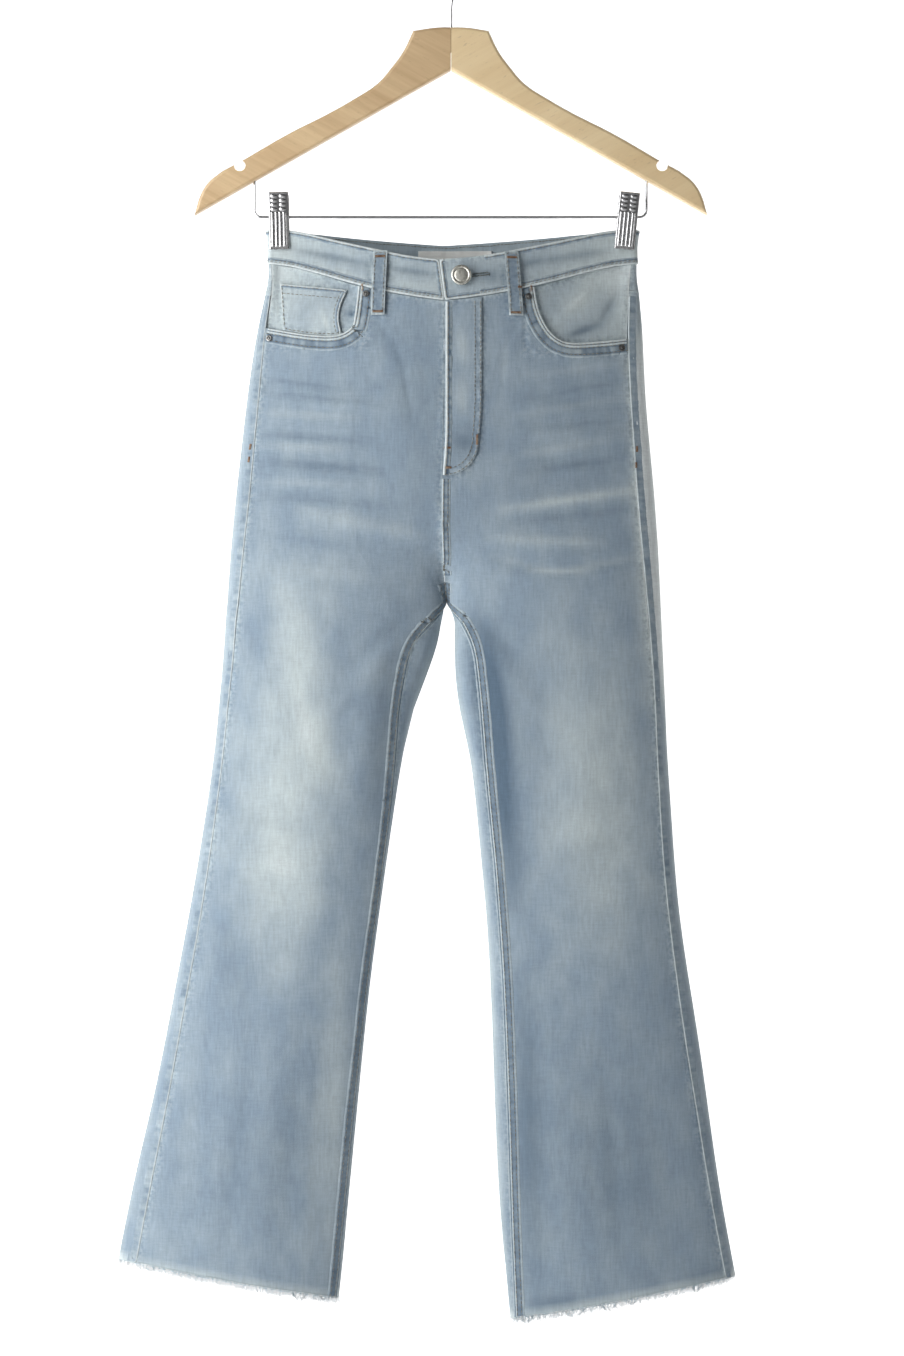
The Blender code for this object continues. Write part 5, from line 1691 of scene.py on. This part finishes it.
def make_floor():
    """The paper floor, turned up behind the garment in one soft curve."""
    bpy.ops.object.select_all(action="DESELECT")
    bpy.ops.mesh.primitive_plane_add(
        size=FLOOR_SIZE, location=(0, BACKDROP_Y - FLOOR_SIZE / 2, FLOOR_Z))
    floor = bpy.context.object
    floor.name = "floor_and_backdrop"
    bpy.ops.object.mode_set(mode="EDIT")
    shape = bmesh.from_edit_mesh(floor.data)
    for edge in shape.edges:
        edge.select = all(vert.co.y > 0 for vert in edge.verts)
    bmesh.update_edit_mesh(floor.data)
    bpy.ops.mesh.select_mode(type="EDGE")
    rise = (0, 0, BACKDROP_HEIGHT)
    bpy.ops.mesh.extrude_region_move(TRANSFORM_OT_translate={"value": rise})
    shape = bmesh.from_edit_mesh(floor.data)
    for edge in shape.edges:
        edge.select = all(vert.co.y > 0 and vert.co.z < BACKDROP_HEIGHT / 2 for vert in edge.verts)
    bmesh.update_edit_mesh(floor.data)
    bpy.ops.mesh.bevel(offset=BACKDROP_CURVE, segments=16, affect="EDGES")
    bpy.ops.object.mode_set(mode="OBJECT")
    bpy.ops.object.shade_smooth()
    bpy.ops.object.transform_apply(location=True, rotation=True, scale=True)
    floor.data.materials.append(stage_material())


def make_light(row, middle):
    """One soft light that faces the garment's middle and isn't seen itself."""
    values = row_values(row, LIGHT_COLUMNS)
    light = bpy.data.lights.new(values["name"], "AREA")
    light.energy = values["watts"]
    light.shape = "RECTANGLE"
    light.size = values["wide"]
    light.size_y = values["tall"]
    lamp = bpy.data.objects.new(values["name"], light)
    lamp.location = (values["x"], values["y"], values["z"])
    lamp.rotation_euler = (middle - lamp.location).to_track_quat("-Z", "Y").to_euler()
    lamp.visible_camera = False
    bpy.context.scene.collection.objects.link(lamp)


def light_room():
    """A white room that looks bright but sheds little light."""
    world = bpy.data.worlds.new("soft_room")
    world.use_nodes = True
    sky = world.node_tree.nodes["Background"]
    seen = add_node(world.node_tree, "ShaderNodeLightPath").outputs["Is Camera Ray"]
    shown = ramp(world.node_tree, seen, 0.0, 1.0, bottom=ROOM_LIGHT)
    sky.inputs["Color"].default_value = (1, 1, 1, 1)
    world.node_tree.links.new(shown, sky.inputs["Strength"])
    bpy.context.scene.world = world
    bpy.context.scene.view_settings.view_transform = "Standard"


def make_camera(stage, middle):
    """The camera, straight in front of the garment's middle."""
    lens = bpy.data.cameras.new("camera")
    lens.sensor_fit = "VERTICAL"
    lens.sensor_height = SENSOR_HEIGHT
    lens.lens = lens.sensor_height * stage.distance / stage.frame_height
    camera = bpy.data.objects.new("camera", lens)
    camera.location = middle - Vector((0, stage.distance, 0))
    camera.rotation_euler = (math.pi / 2, 0, 0)
    bpy.context.scene.collection.objects.link(camera)
    bpy.context.scene.camera = camera


class JEANS_OT_stage(bpy.types.Operator):
    """Set up the pale floor and backdrop, the soft lights and the camera"""
    bl_idname = "jeans.stage"
    bl_label = "Stage"

    def execute(self, context):
        stage = context.scene.jeans_stage
        make_floor()
        middle = Vector((stage.middle_x, 0, stage.middle_z))
        for row in LIGHTS:
            make_light(row, middle)
        light_room()
        make_camera(stage, middle)
        return {"FINISHED"}


class JEANS_PT_panel(bpy.types.Panel):
    """Lists the steps that dress the jeans"""
    bl_idname = "JEANS_PT_panel"
    bl_label = "Jeans"
    bl_space_type = "VIEW_3D"
    bl_region_type = "UI"
    bl_category = "Jeans"

    def draw(self, context):
        for step in STEPS:
            self.layout.operator(step.bl_idname)
        for group in (context.scene.jeans_sizes, context.scene.jeans_colours,
                      context.scene.jeans_stage):
            for name in group.bl_rna.properties.keys():
                if name not in ("rna_type", "name"):
                    self.layout.prop(group, name)


STEPS = (JEANS_OT_cloth, JEANS_OT_seams, JEANS_OT_stitches, JEANS_OT_fray, JEANS_OT_trims,
         JEANS_OT_hanger, JEANS_OT_stage)
CLASSES = (JeansSizes, JeansColours, StageSettings, *STEPS, JEANS_PT_panel)


def register():
    for item in CLASSES:
        bpy.utils.register_class(item)
    bpy.types.Scene.jeans_sizes = bpy.props.PointerProperty(type=JeansSizes)
    bpy.types.Scene.jeans_colours = bpy.props.PointerProperty(type=JeansColours)
    bpy.types.Scene.jeans_stage = bpy.props.PointerProperty(type=StageSettings)


def unregister():
    del bpy.types.Scene.jeans_stage
    del bpy.types.Scene.jeans_colours
    del bpy.types.Scene.jeans_sizes
    for item in reversed(CLASSES):
        bpy.utils.unregister_class(item)


def main():
    """Dress the garment step by step."""
    register()
    for step in STEPS:
        group, name = step.bl_idname.split(".")
        getattr(getattr(bpy.ops, group), name)()


if __name__ == "__main__":
    main()
